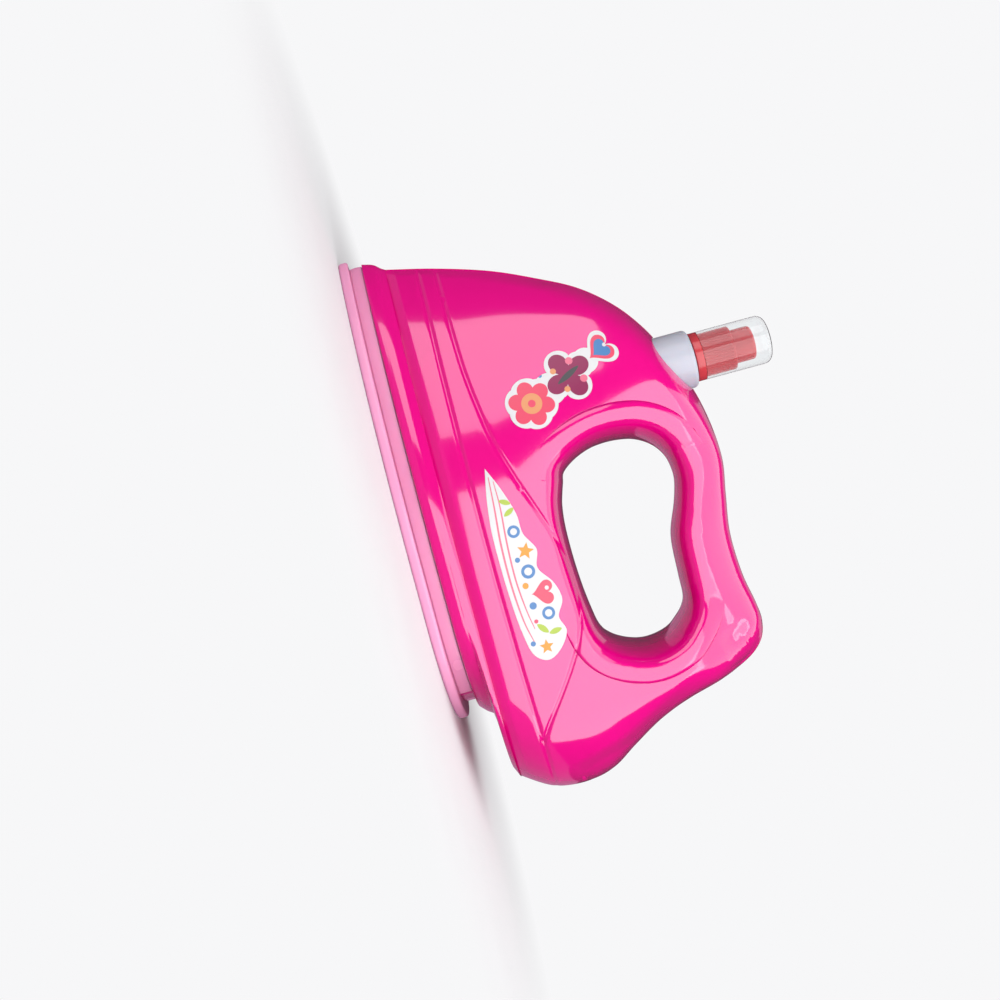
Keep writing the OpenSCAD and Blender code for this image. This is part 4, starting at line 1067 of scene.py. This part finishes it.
RING_PROFILE = [(RING_INSET + RING_EDGE, LIGHT_Z), (RING_INSET, LIGHT_Z + RING_EDGE),
                (RING_INSET - RING_BULGE, (LIGHT_Z + SKIRT_Z) / 2), (RING_INSET, SKIRT_Z - RING_EDGE),
                (RING_INSET + RING_EDGE, SKIRT_Z), (RING_INSET + RING_T, SKIRT_Z),
                (RING_INSET + RING_T, LIGHT_Z)]
ring_rows = [ring_level(inset, z) for inset, z in RING_PROFILE]
light_ring = boat_loft("light_band", ring_rows, "root")
heel_block = box_cutter((SOLE_HEEL - RING_GAP, -SOLE_W, 0), (SOLE_HEEL + RING_GAP, SOLE_W, SEAT_Z))
cut_away(light_ring, [heel_block])
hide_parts("light_ring")
print("ring ends at", round(SOLE_HEEL - RING_GAP, 4))

# %% [markdown]
# The sole is a flat plate with a rounded rim: a stack of outlines that widen round its lower edge
# and draw in again, with a smaller radius, round its upper one.

# %% Sole plate
SOLE_EDGE = 1.4 * MM
TOP_EDGE = SOLE_EDGE * 0.7
LOWER_STEPS = 8
UPPER_STEPS = 6
sole_rows = []
for i in range(LOWER_STEPS + 1):
    a = math.radians(-90 + 90 * i / LOWER_STEPS)
    sole_rows.append(ring_level(SOLE_EDGE * (1 - math.cos(a)), SOLE_EDGE * (1 + math.sin(a))))
for i in range(UPPER_STEPS + 1):
    a = math.radians(90 * i / UPPER_STEPS)
    sole_rows.append(ring_level(TOP_EDGE * (1 - math.cos(a)), LIGHT_Z - TOP_EDGE * (1 - math.sin(a))))
sole = boat_loft("sole", sole_rows, "root", close=False)
print("sole levels", len(sole_rows))

# %% [markdown]
# The underside has the battery door's opening, a slot for the switch, the speaker's grille and
# four screw holes. The door's place comes from its box, and the screws' from their own points.

# %% Openings in the sole
DOOR_LOW, DOOR_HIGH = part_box("battery_door")
DOOR_GAP = 0.3 * MM
DOOR_X = -0.2 * MM
SWITCH_X = -14 * MM
SPEAKER_X = -46 * MM
GRILLE_R = 1.1 * MM
GRILLE_PITCH = 4.4 * MM
DOOR_CORNER = 1.5 * MM
SLOT_BACK = 4 * MM
SLOT_AHEAD = 8 * MM
SLOT_HALF = 3.3 * MM
SLOT_CORNER = 1.2 * MM
SCREW_HOLE_TOP = 2.8 * MM
LOW, HIGH = -1 * MM, 5 * MM
screws = frame["nodes"]["base_screws"]
screw_points = np.array([screws.matrix_world @ v.co for v in screws.data.vertices])
base_screw_places = []
for front in (True, False):
    for near in (True, False):
        own = screw_points[((screw_points[:, 0] < 0) == front) & ((screw_points[:, 1] < 0) == near)]
        base_screw_places.append(tuple((own.min(axis=0) + own.max(axis=0))[:2] / 2))
grille_places = [(SPEAKER_X, 0)] + [
    (SPEAKER_X + GRILLE_PITCH * math.cos(math.radians(a)), GRILLE_PITCH * math.sin(math.radians(a)))
    for a in range(0, 360, 60)]
cutters = [
    box_cutter((DOOR_X - DOOR_GAP, DOOR_LOW.y - DOOR_GAP, LOW),
               (DOOR_HIGH.x + DOOR_GAP, DOOR_HIGH.y + DOOR_GAP, HIGH), DOOR_CORNER),
    box_cutter((SWITCH_X - SLOT_BACK, -SLOT_HALF, LOW), (SWITCH_X + SLOT_AHEAD, SLOT_HALF, HIGH),
               SLOT_CORNER)]
cutters += [round_cutter((x, y, LOW), (x, y, HIGH), GRILLE_R, 32) for x, y in grille_places]
cutters += [round_cutter((x, y, LOW), (x, y, SCREW_HOLE_TOP), WELL_R, 48) for x, y in base_screw_places]
cut_away(sole, cutters)
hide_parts("sole_plate")
print("sole faces", len(sole.data.polygons))

# %% [markdown]
# The sprayer stands in the body: a whitish bottle, a coral collar with fine grip ribs, a press
# button with a dished top, and a clear cap over both. All are turned shapes. The bottle's neck
# carries three plain rings, where such bottles have their thread.

# %% Bottle
BOTTLE_LOW, BOTTLE_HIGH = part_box("water_bottle")
CENTRE = (BOTTLE_X, 0)
NECK_H = 8 * MM
SHOULDER_Z = BOTTLE_HIGH.z - NECK_H
NECK_R = 7.2 * MM
BOTTLE_WALL = 1 * MM
SHOULDER_R = 1.8 * MM
NECK_FILLET = 0.6 * MM
# One ring of the neck: how far out and how far up, in millimetres.
NECK_RING = [(0, 0), (0.22, 0.25), (0.22, 0.55), (0, 0.8)]
NECK_RINGS = 3
RING_PITCH = 1.9


def bottle_profile():
    r, z0, z1, t = BOTTLE_R, BOTTLE_LOW.z, SHOULDER_Z, BOTTLE_WALL
    outer = [(0, z0 + 1.2 * MM), (r * 0.5, z0 + 0.9 * MM)]
    outer += arc_points((r - SHOULDER_R, z0 + SHOULDER_R), SHOULDER_R, -90, 0)
    outer += arc_points((r - SHOULDER_R, z1 - SHOULDER_R), SHOULDER_R, 0, 90)
    outer += arc_points((NECK_R + NECK_FILLET, z1 + NECK_FILLET), NECK_FILLET, -90, -180, 4)
    outer += [(NECK_R, z1 + 1.4 * MM)]
    for k in range(NECK_RINGS):
        z = z1 + (RING_PITCH + RING_PITCH * k) * MM
        outer += [(NECK_R + out * MM, z + up * MM) for out, up in NECK_RING]
    outer += [(NECK_R, BOTTLE_HIGH.z)]
    inner = [(NECK_R - t, BOTTLE_HIGH.z), (NECK_R - t, z1 - t), (r - t - SHOULDER_R, z1 - t),
             (r - t, z1 - t - SHOULDER_R), (r - t, z0 + 2 * t + SHOULDER_R),
             (r - t - SHOULDER_R, z0 + 2 * t), (0, z0 + 2 * t + 0.8 * MM)]
    return outer + inner


bottle = lathe("spray_bottle", bottle_profile(), CENTRE, 128, "bottle")
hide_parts("water_bottle")
print("bottle stands", round(SHOULDER_Z, 4), "high at its shoulder")

# %% [markdown]
# Fingers turn the collar, so fine ribs run up it. They could be a ring of small boxes, but here
# they are a ripple of the radius, with six segments to a rib, so that no seam shows between a rib
# and the collar. The flange below stays plain.

# %% Collar with ribs
COLLAR_LOW, COLLAR_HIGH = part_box("screw_collar")
CAP_R = (COLLAR_HIGH.x - COLLAR_LOW.x) / 2
COLLAR_FLANGE_H = 3.4 * MM
COLLAR_FLANGE_EDGE = 0.35 * MM
COLLAR_R = 9 * MM
COLLAR_EDGE = 0.7 * MM
RIB_COUNT = 48
RIB_DEPTH = 0.32 * MM
RIB_SEGMENTS = RIB_COUNT * 6
# The collar's inside as radius and height, in millimetres.
COLLAR_INSIDE = [(7.3, 141.1), (5.2, 141.1), (5.2, 139.9), (7.5, 139.9)]


def collar_profile():
    z0, z1, e, c = COLLAR_LOW.z, COLLAR_HIGH.z, COLLAR_FLANGE_EDGE, COLLAR_EDGE
    f = z0 + COLLAR_FLANGE_H
    outer = [(NECK_R + 0.3 * MM, z0), (CAP_R - e, z0)] + arc_points((CAP_R - e, z0 + e), e, -90, 0, 3)
    outer += arc_points((CAP_R - e, f - e), e, 0, 90, 3)
    outer += [(COLLAR_R, f), (COLLAR_R, f + 0.4 * MM), (COLLAR_R, z1 - 1.6 * MM)]
    outer += arc_points((COLLAR_R - c, z1 - c), c, 0, 90, 4) + [(COLLAR_INSIDE[0][0] * MM, z1)]
    return outer + [(r * MM, z * MM) for r, z in COLLAR_INSIDE]


collar = lathe("ribbed_collar", collar_profile(), CENTRE, RIB_SEGMENTS, "collar")
rib_low, rib_high = COLLAR_LOW.z + COLLAR_FLANGE_H + 0.2 * MM, COLLAR_HIGH.z - 1.2 * MM
for vertex in collar.data.vertices:
    dx, dy = vertex.co.x - BOTTLE_X, vertex.co.y
    r = math.hypot(dx, dy)
    if rib_low < vertex.co.z < rib_high and r > COLLAR_R - 0.1 * MM:
        ripple = 0.5 - 0.5 * math.cos(RIB_COUNT * math.atan2(dy, dx))
        scale = (r - RIB_DEPTH * (1 - ripple) ** 2) / r
        vertex.co.x, vertex.co.y = BOTTLE_X + dx * scale, dy * scale
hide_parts("screw_collar")
print("ribs", RIB_COUNT)

# %% [markdown]
# The press button is an upturned cup round the pump's stem. Its top is dished, so that a finger
# finds the middle. A cylinder cut from its side makes room for the nozzle.

# %% Spray head
HEAD_LOW, HEAD_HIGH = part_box("spray_head")
HEAD_R = (HEAD_HIGH.x - HEAD_LOW.x) / 2
HEAD_EDGE = 1.4 * MM
HEAD_DISH = 0.7 * MM
HEAD_WALL = 1 * MM
HEAD_HOLLOW = 4 * MM
DISH_SHARE = 0.74
DISH_STEPS = 6
STEM_R = 1.6 * MM
STEM_GAP = 0.05 * MM
NOZZLE_R = 1.85 * MM


def head_profile():
    z0, z1, r, w = HEAD_LOW.z, HEAD_HIGH.z, HEAD_R, HEAD_WALL
    stem, hollow = STEM_R + STEM_GAP, z0 + HEAD_HOLLOW
    cup = [(stem, z0), (STEM_R + w, z0), (STEM_R + w, hollow), (r - w, hollow), (r - w, z0), (r, z0)]
    edge = arc_points((r - HEAD_EDGE, z1 - HEAD_EDGE), HEAD_EDGE, 0, 90)
    dish = [(r * (DISH_SHARE - DISH_SHARE * i / DISH_STEPS),
             float(z1 - HEAD_DISH * smoothstep(i / DISH_STEPS))) for i in range(1, DISH_STEPS + 1)]
    return cup + edge + [(r * DISH_SHARE, z1)] + dish + [(0, hollow), (stem, hollow)]


head = lathe("press_head", head_profile(), CENTRE, 96, "head")
NOZZLE_LOW, NOZZLE_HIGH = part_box("nozzle_insert")
NOZZLE_Z = (NOZZLE_LOW.z + NOZZLE_HIGH.z) / 2
nozzle_start = (NOZZLE_LOW.x - 1 * MM, 0, NOZZLE_Z)
cut_away(head, [round_cutter(nozzle_start, (NOZZLE_HIGH.x, 0, NOZZLE_Z), NOZZLE_R, 48)])
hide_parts("spray_head")
print("head", round(HEAD_HIGH.z - HEAD_LOW.z, 4), "high")

# %% [markdown]
# The clear cap is a thin cup that stands on the collar's flange. It has a real inner face, because
# light bends where it enters the plastic and again where it leaves it.

# %% Clear cap
CAP_LOW, CAP_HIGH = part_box("overcap")
CAP_WALL = 0.8 * MM
CAP_ROUND = 3.4 * MM
CAP_CROWN = 0.35 * MM
CAP_RIM = 1 * MM
CAP_ARC = 80
CAP_STEPS = 10
DOME_SHARE = 0.3
DOME_DROP = 0.05 * MM


def cap_profile():
    r, z0, z1 = CAP_R, CAP_LOW.z, CAP_HIGH.z
    corner = (r - CAP_ROUND, z1 - CAP_CROWN - CAP_ROUND)
    outer = [(r - CAP_WALL, z0), (r, z0), (r, z0 + CAP_RIM)]
    outer += arc_points(corner, CAP_ROUND, 0, CAP_ARC, CAP_STEPS)
    outer += [(r * DOME_SHARE, z1 - DOME_DROP), (0, z1)]
    inner = [(0, z1 - CAP_WALL), (r * DOME_SHARE, z1 - CAP_WALL - DOME_DROP)]
    return outer + inner + arc_points(corner, CAP_ROUND - CAP_WALL, CAP_ARC, 0, CAP_STEPS)


cap = lathe("clear_cap", cap_profile(), CENTRE, 128, "cap")
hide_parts("overcap")
print("cap top", round(CAP_HIGH.z, 4))

# %% [markdown]
# Pressing the head squeezes the pump's spring. The imported spring keeps its shape, so a copy with a
# mesh of its own takes its place.

# %% Return spring
packed_spring = frame["nodes"]["pump_spring"]
spring = packed_spring.copy()
spring.name = "return_spring"
spring.data = packed_spring.data.copy()
spring.data.materials.clear()
scene_objects.link(spring)
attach(spring, "pump")
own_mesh(spring)
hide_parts("pump_spring")

# %% [markdown]
# A finish is a small network of nodes. Four helpers keep the wiring short: one adds a node and sets
# its sockets, two mix colours or shaders by a share, and one works out a number from two others.

# %% Node helpers
MIX_FIRST, MIX_SECOND, MIX_RESULT = 6, 7, 2


def add(tree, kind, **values):
    """A new node with some sockets set. An underscore in a socket's name stands for a space."""
    node = tree.nodes.new("ShaderNode" + kind)
    for name, value in values.items():
        node.inputs[name.replace("_", " ")].default_value = value
    return node


def mix_colours(tree, share, first, second):
    node = add(tree, "Mix")
    node.data_type = "RGBA"
    node.inputs[MIX_FIRST].default_value = (*first, 1)
    node.inputs[MIX_SECOND].default_value = (*second, 1)
    tree.links.new(share, node.inputs[0])
    return node.outputs[MIX_RESULT]


def mix_shaders(tree, share, first, second):
    node = add(tree, "MixShader")
    for k, source in enumerate((share, first, second)):
        tree.links.new(source, node.inputs[k])
    return node.outputs[0]


def work_out(tree, operation, first, second):
    node = add(tree, "Math")
    node.operation = operation
    tree.links.new(first, node.inputs[0])
    tree.links.new(second, node.inputs[1])
    return node.outputs["Value"]


print("node helpers ready")

# %% [markdown]
# A plastic's finish is its colour, how sharply it mirrors the room, and the small unevenness of a
# moulded face. One function makes them all: a slow noise shifts the colour and the roughness a
# little, and a finer one gives the surface a faint grain.

# %% Plastic
SLOW_SCALE = 28
ROUGH_VARY = 0.18
GRAIN_DISTANCE = 0.0005
BASE_SOCKETS = {"Coat_Roughness": 0.06, "Subsurface_Scale": 0.004, "IOR": 1.46}


def plastic(name, colour, roughness, vary, bump, bump_scale, **sockets):
    """A finish. Further sockets of its shader are set by their names."""
    material = bpy.data.materials.new(name)
    material.use_nodes = True
    tree = material.node_tree
    wire = tree.links.new
    shader = tree.nodes["Principled BSDF"]
    place = add(tree, "TexCoord").outputs["Object"]
    slow = add(tree, "TexNoise", Scale=SLOW_SCALE, Detail=3)
    wire(place, slow.inputs["Vector"])
    darker, lighter = [c * (1 - vary) for c in colour], [min(1, c * (1 + vary)) for c in colour]
    wire(mix_colours(tree, slow.outputs["Fac"], darker, lighter), shader.inputs["Base Color"])
    rough = add(tree, "MapRange", To_Min=roughness * (1 - ROUGH_VARY), To_Max=roughness * (1 + ROUGH_VARY))
    wire(slow.outputs["Fac"], rough.inputs["Value"])
    wire(rough.outputs["Result"], shader.inputs["Roughness"])
    fine = add(tree, "TexNoise", Scale=bump_scale, Detail=2)
    wire(place, fine.inputs["Vector"])
    grain = add(tree, "Bump", Strength=bump, Distance=GRAIN_DISTANCE)
    wire(fine.outputs["Fac"], grain.inputs["Height"])
    wire(grain.outputs["Normal"], shader.inputs["Normal"])
    for socket, value in {**BASE_SOCKETS, **sockets}.items():
        shader.inputs[socket.replace("_", " ")].default_value = value
    return material


print("plastic ready")

# %% [markdown]
# The body is polished, so it has a clear coat and mirrors sharply. The sole, the ring and the
# bottle let a little light in below their surface. The steel parts are metal with a soft shine.

# %% Finishes
HOT_PINK = (0.57, 0.001, 0.165)
PALE_PINK = (0.66, 0.27, 0.44)
hot_pink = plastic("hot pink plastic", HOT_PINK, 0.12, 0.03, 0.0015, 500, Coat_Weight=1.0)
pale_pink = plastic("pale pink plastic", PALE_PINK, 0.2, 0.03, 0.012, 500, Subsurface_Weight=0.08)
milky = plastic("milky ring plastic", (0.62, 0.22, 0.38), 0.26, 0.06, 0.03, 500, Subsurface_Weight=0.15)
coral = plastic("coral plastic", (0.42, 0.035, 0.045), 0.2, 0.04, 0.015, 600, Coat_Weight=0.2)
bottle_white = plastic("bottle plastic", (0.38, 0.39, 0.45), 0.34, 0.03, 0.02, 500, Subsurface_Weight=0.2)
pump_white = plastic("pump plastic", (0.42, 0.42, 0.42), 0.4, 0.03, 0.02, 800)
clear = plastic("clear plastic", (0.96, 0.975, 0.98), 0.04, 0.01, 0.008, 300, Transmission_Weight=1.0,
                IOR=1.45)
black = plastic("black plastic", (0.015, 0.015, 0.018), 0.42, 0.1, 0.08, 900)
steel = plastic("zinc plated steel", (0.45, 0.45, 0.46), 0.33, 0.08, 0.05, 1500, Metallic=1.0)
green = plastic("board lacquer", (0.012, 0.08, 0.03), 0.3, 0.12, 0.06, 900)
jacket = plastic("cell jacket", (0.03, 0.03, 0.035), 0.28, 0.1, 0.02, 600, Metallic=0.4)
lamp = plastic("lamp epoxy", (0.8, 0.8, 0.84), 0.1, 0.02, 0.01, 400, Transmission_Weight=0.7)
inks = [plastic("print " + name, PRINT_COLOURS[name], 0.3, 0.05, 0.01, 700) for name in PRINTS]
print("finishes", len(bpy.data.materials))

# %% [markdown]
# The renderer brings hardly any lamp light through a clear solid, so the cap would throw a dark
# shadow on the sprayer inside it. Shadow rays therefore meet a see-through shader instead.

# %% Light through the cap
CAP_SHADOW = (0.9, 0.9, 0.9, 1)


def let_light_in(material):
    tree = material.node_tree
    shadow = add(tree, "LightPath").outputs["Is Shadow Ray"]
    nothing = add(tree, "BsdfTransparent", Color=CAP_SHADOW).outputs[0]
    shown = mix_shaders(tree, shadow, tree.nodes["Principled BSDF"].outputs[0], nothing)
    tree.links.new(shown, tree.nodes["Material Output"].inputs["Surface"])


let_light_in(clear)
print("cap lets light in")

# %% [markdown]
# Each piece gets its finish. A sticker has one slot for each ink, and every face of it says which
# one it takes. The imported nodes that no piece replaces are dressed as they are.

# %% Dressing
PIECE_FINISH = [(left_shell, hot_pink), (right_shell, hot_pink), (screw_wells, hot_pink), (skirt, hot_pink),
                (light_ring, milky), (sole, pale_pink), (bottle, bottle_white), (collar, coral),
                (head, coral), (cap, clear), (spring, steel)]
NODE_FINISH = {
    "base_housing": hot_pink, "battery_door": pale_pink, "door_screw": steel, "battery_cells": jacket,
    "battery_springs": steel, "battery_contacts": steel, "circuit_board": green, "board_parts": black,
    "leds": lamp, "speaker": black, "switch_body": black, "switch_slider": black, "bottle_well": pale_pink,
    "pump_gasket": pump_white, "pump_barrel": pump_white, "pump_ball": steel, "dip_tube": pump_white,
    "pump_piston": pump_white, "nozzle_insert": pump_white, "shell_screws": steel,
    "base_screws": steel}


def dress(thing, material):
    thing.data.materials.clear()
    thing.data.materials.append(material)


for sticker, colours in ((nose_sticker, nose_colours), (leaf_sticker, leaf_colours)):
    for ink in inks:
        sticker.data.materials.append(ink)
    sticker.data.polygons.foreach_set("material_index", colours)
for thing, finish in PIECE_FINISH:
    dress(thing, finish)
for node, finish in NODE_FINISH.items():
    dress(frame["nodes"][node], finish)
print("dressed", len(PIECE_FINISH), "pieces and", len(NODE_FINISH), "nodes")

# %% [markdown]
# A pale floor lies under the iron. Near the iron it is painted matt and takes its soft shadow.
# Further off, rays from the camera, and those that came through clear plastic, see it as plain
# white, so no horizon shows. Mirrored in a shiny surface, metal too, the floor is a dim mauve
# instead of white, which keeps the pink of the lower side deep.

# %% Floor
FLOOR_SIZE = 8.0
FADE_FROM = 0.1
FADE_TO = 0.26
WHITE = (0.93, 0.93, 0.94, 1)
MAUVE = (0.42, 0.2, 0.32, 1)
floor_mesh = bpy.data.meshes.new("floor")
h = FLOOR_SIZE / 2
floor_mesh.from_pydata([(-h, -h, 0), (h, -h, 0), (h, h, 0), (-h, h, 0)], [], [(0, 1, 2, 3)])
floor = bpy.data.objects.new("floor", floor_mesh)
scene_objects.link(floor)
floor_paint = plastic("floor paint", (0.7, 0.7, 0.71), 0.7, 0.01, 0.0, 60)
floor_mesh.materials.append(floor_paint)
tree = floor_paint.node_tree
spread = add(tree, "VectorMath")
spread.operation = "LENGTH"
tree.links.new(add(tree, "TexCoord").outputs["Object"], spread.inputs[0])
far = add(tree, "MapRange", From_Min=FADE_FROM, From_Max=FADE_TO)
far.interpolation_type = "SMOOTHSTEP"
tree.links.new(spread.outputs["Value"], far.inputs["Value"])
rays = add(tree, "LightPath").outputs
straight = work_out(tree, "MAXIMUM", rays["Is Camera Ray"], rays["Is Transmission Ray"])
share = work_out(tree, "MULTIPLY", far.outputs["Result"], straight)
mirrored = add(tree, "Emission", Color=MAUVE).outputs[0]
glow = add(tree, "Emission", Color=WHITE).outputs[0]
lit = mix_shaders(tree, rays["Is Glossy Ray"], tree.nodes["Principled BSDF"].outputs[0], mirrored)
shown = mix_shaders(tree, share, lit, glow)
tree.links.new(shown, tree.nodes["Material Output"].inputs["Surface"])
print("floor", FLOOR_SIZE, "m wide")

# %% [markdown]
# The world is white for the same rays. For all others it is a dim, even light, and dimmer and
# pinker still where a surface mirrors it.

# %% World
AMBIENT = 0.26
MIRRORED_AMBIENT = 0.1
MIRRORED_TINT = (1, 0.5, 0.78)
world = bpy.data.worlds.new("world")
bpy.context.scene.world = world
world.use_nodes = True
tree = world.node_tree
tree.nodes.clear()
rays = add(tree, "LightPath").outputs
ambient = add(tree, "Background")
tint = mix_colours(tree, rays["Is Glossy Ray"], (1, 1, 1), MIRRORED_TINT)
tree.links.new(tint, ambient.inputs["Color"])
gloom = add(tree, "MapRange", To_Min=AMBIENT, To_Max=MIRRORED_AMBIENT)
tree.links.new(rays["Is Glossy Ray"], gloom.inputs["Value"])
tree.links.new(gloom.outputs["Result"], ambient.inputs["Strength"])
seen = add(tree, "Background", Color=WHITE)
straight = work_out(tree, "MAXIMUM", rays["Is Camera Ray"], rays["Is Transmission Ray"])
shown = mix_shaders(tree, straight, ambient.outputs[0], seen.outputs[0])
tree.links.new(shown, add(tree, "OutputWorld").inputs["Surface"])
print("world", AMBIENT)

# %% [markdown]
# A polished side mirrors its lamps, so they are large and have clear edges. One stands in front,
# one hangs above, one shines on the nose, and a weak one lights the far side. The gap between the
# front lamp and the nose lamp leaves the plastic its full colour. None shows through the cap.

# %% Lamps
LAMPS = [("front", (0.28, -0.82, 0.72), (-0.04, -0.04, 0.72), (1.33, 1.35), 3.3),
         ("top", (0.36, -0.22, 1.15), (0.36, -0.22, 0), (1.2, 1.1), 1.9),
         ("nose", (-0.69, -0.56, 0.32), (-0.04, -0.04, 0.32), (0.58, 0.62), 2.4),
         ("rear", (0.2, 0.9, 0.9), (0, 0, 0.06), (0.8, 0.6), 0.3)]


def area_lamp(name, place, target, size, radiance):
    """A rectangle of even brightness: its power is pi times its area times its radiance."""
    data = bpy.data.lights.new(name, "AREA")
    data.shape = "RECTANGLE"
    data.size, data.size_y = size
    data.energy = math.pi * size[0] * size[1] * radiance
    thing = bpy.data.objects.new(name, data)
    thing.location = place
    thing.rotation_euler = (Vector(target) - Vector(place)).to_track_quat("-Z", "Y").to_euler()
    thing.visible_transmission = False
    scene_objects.link(thing)


for row in LAMPS:
    area_lamp(*row)
bpy.context.scene.view_settings.view_transform = "Standard"
print("lamps", len(LAMPS))
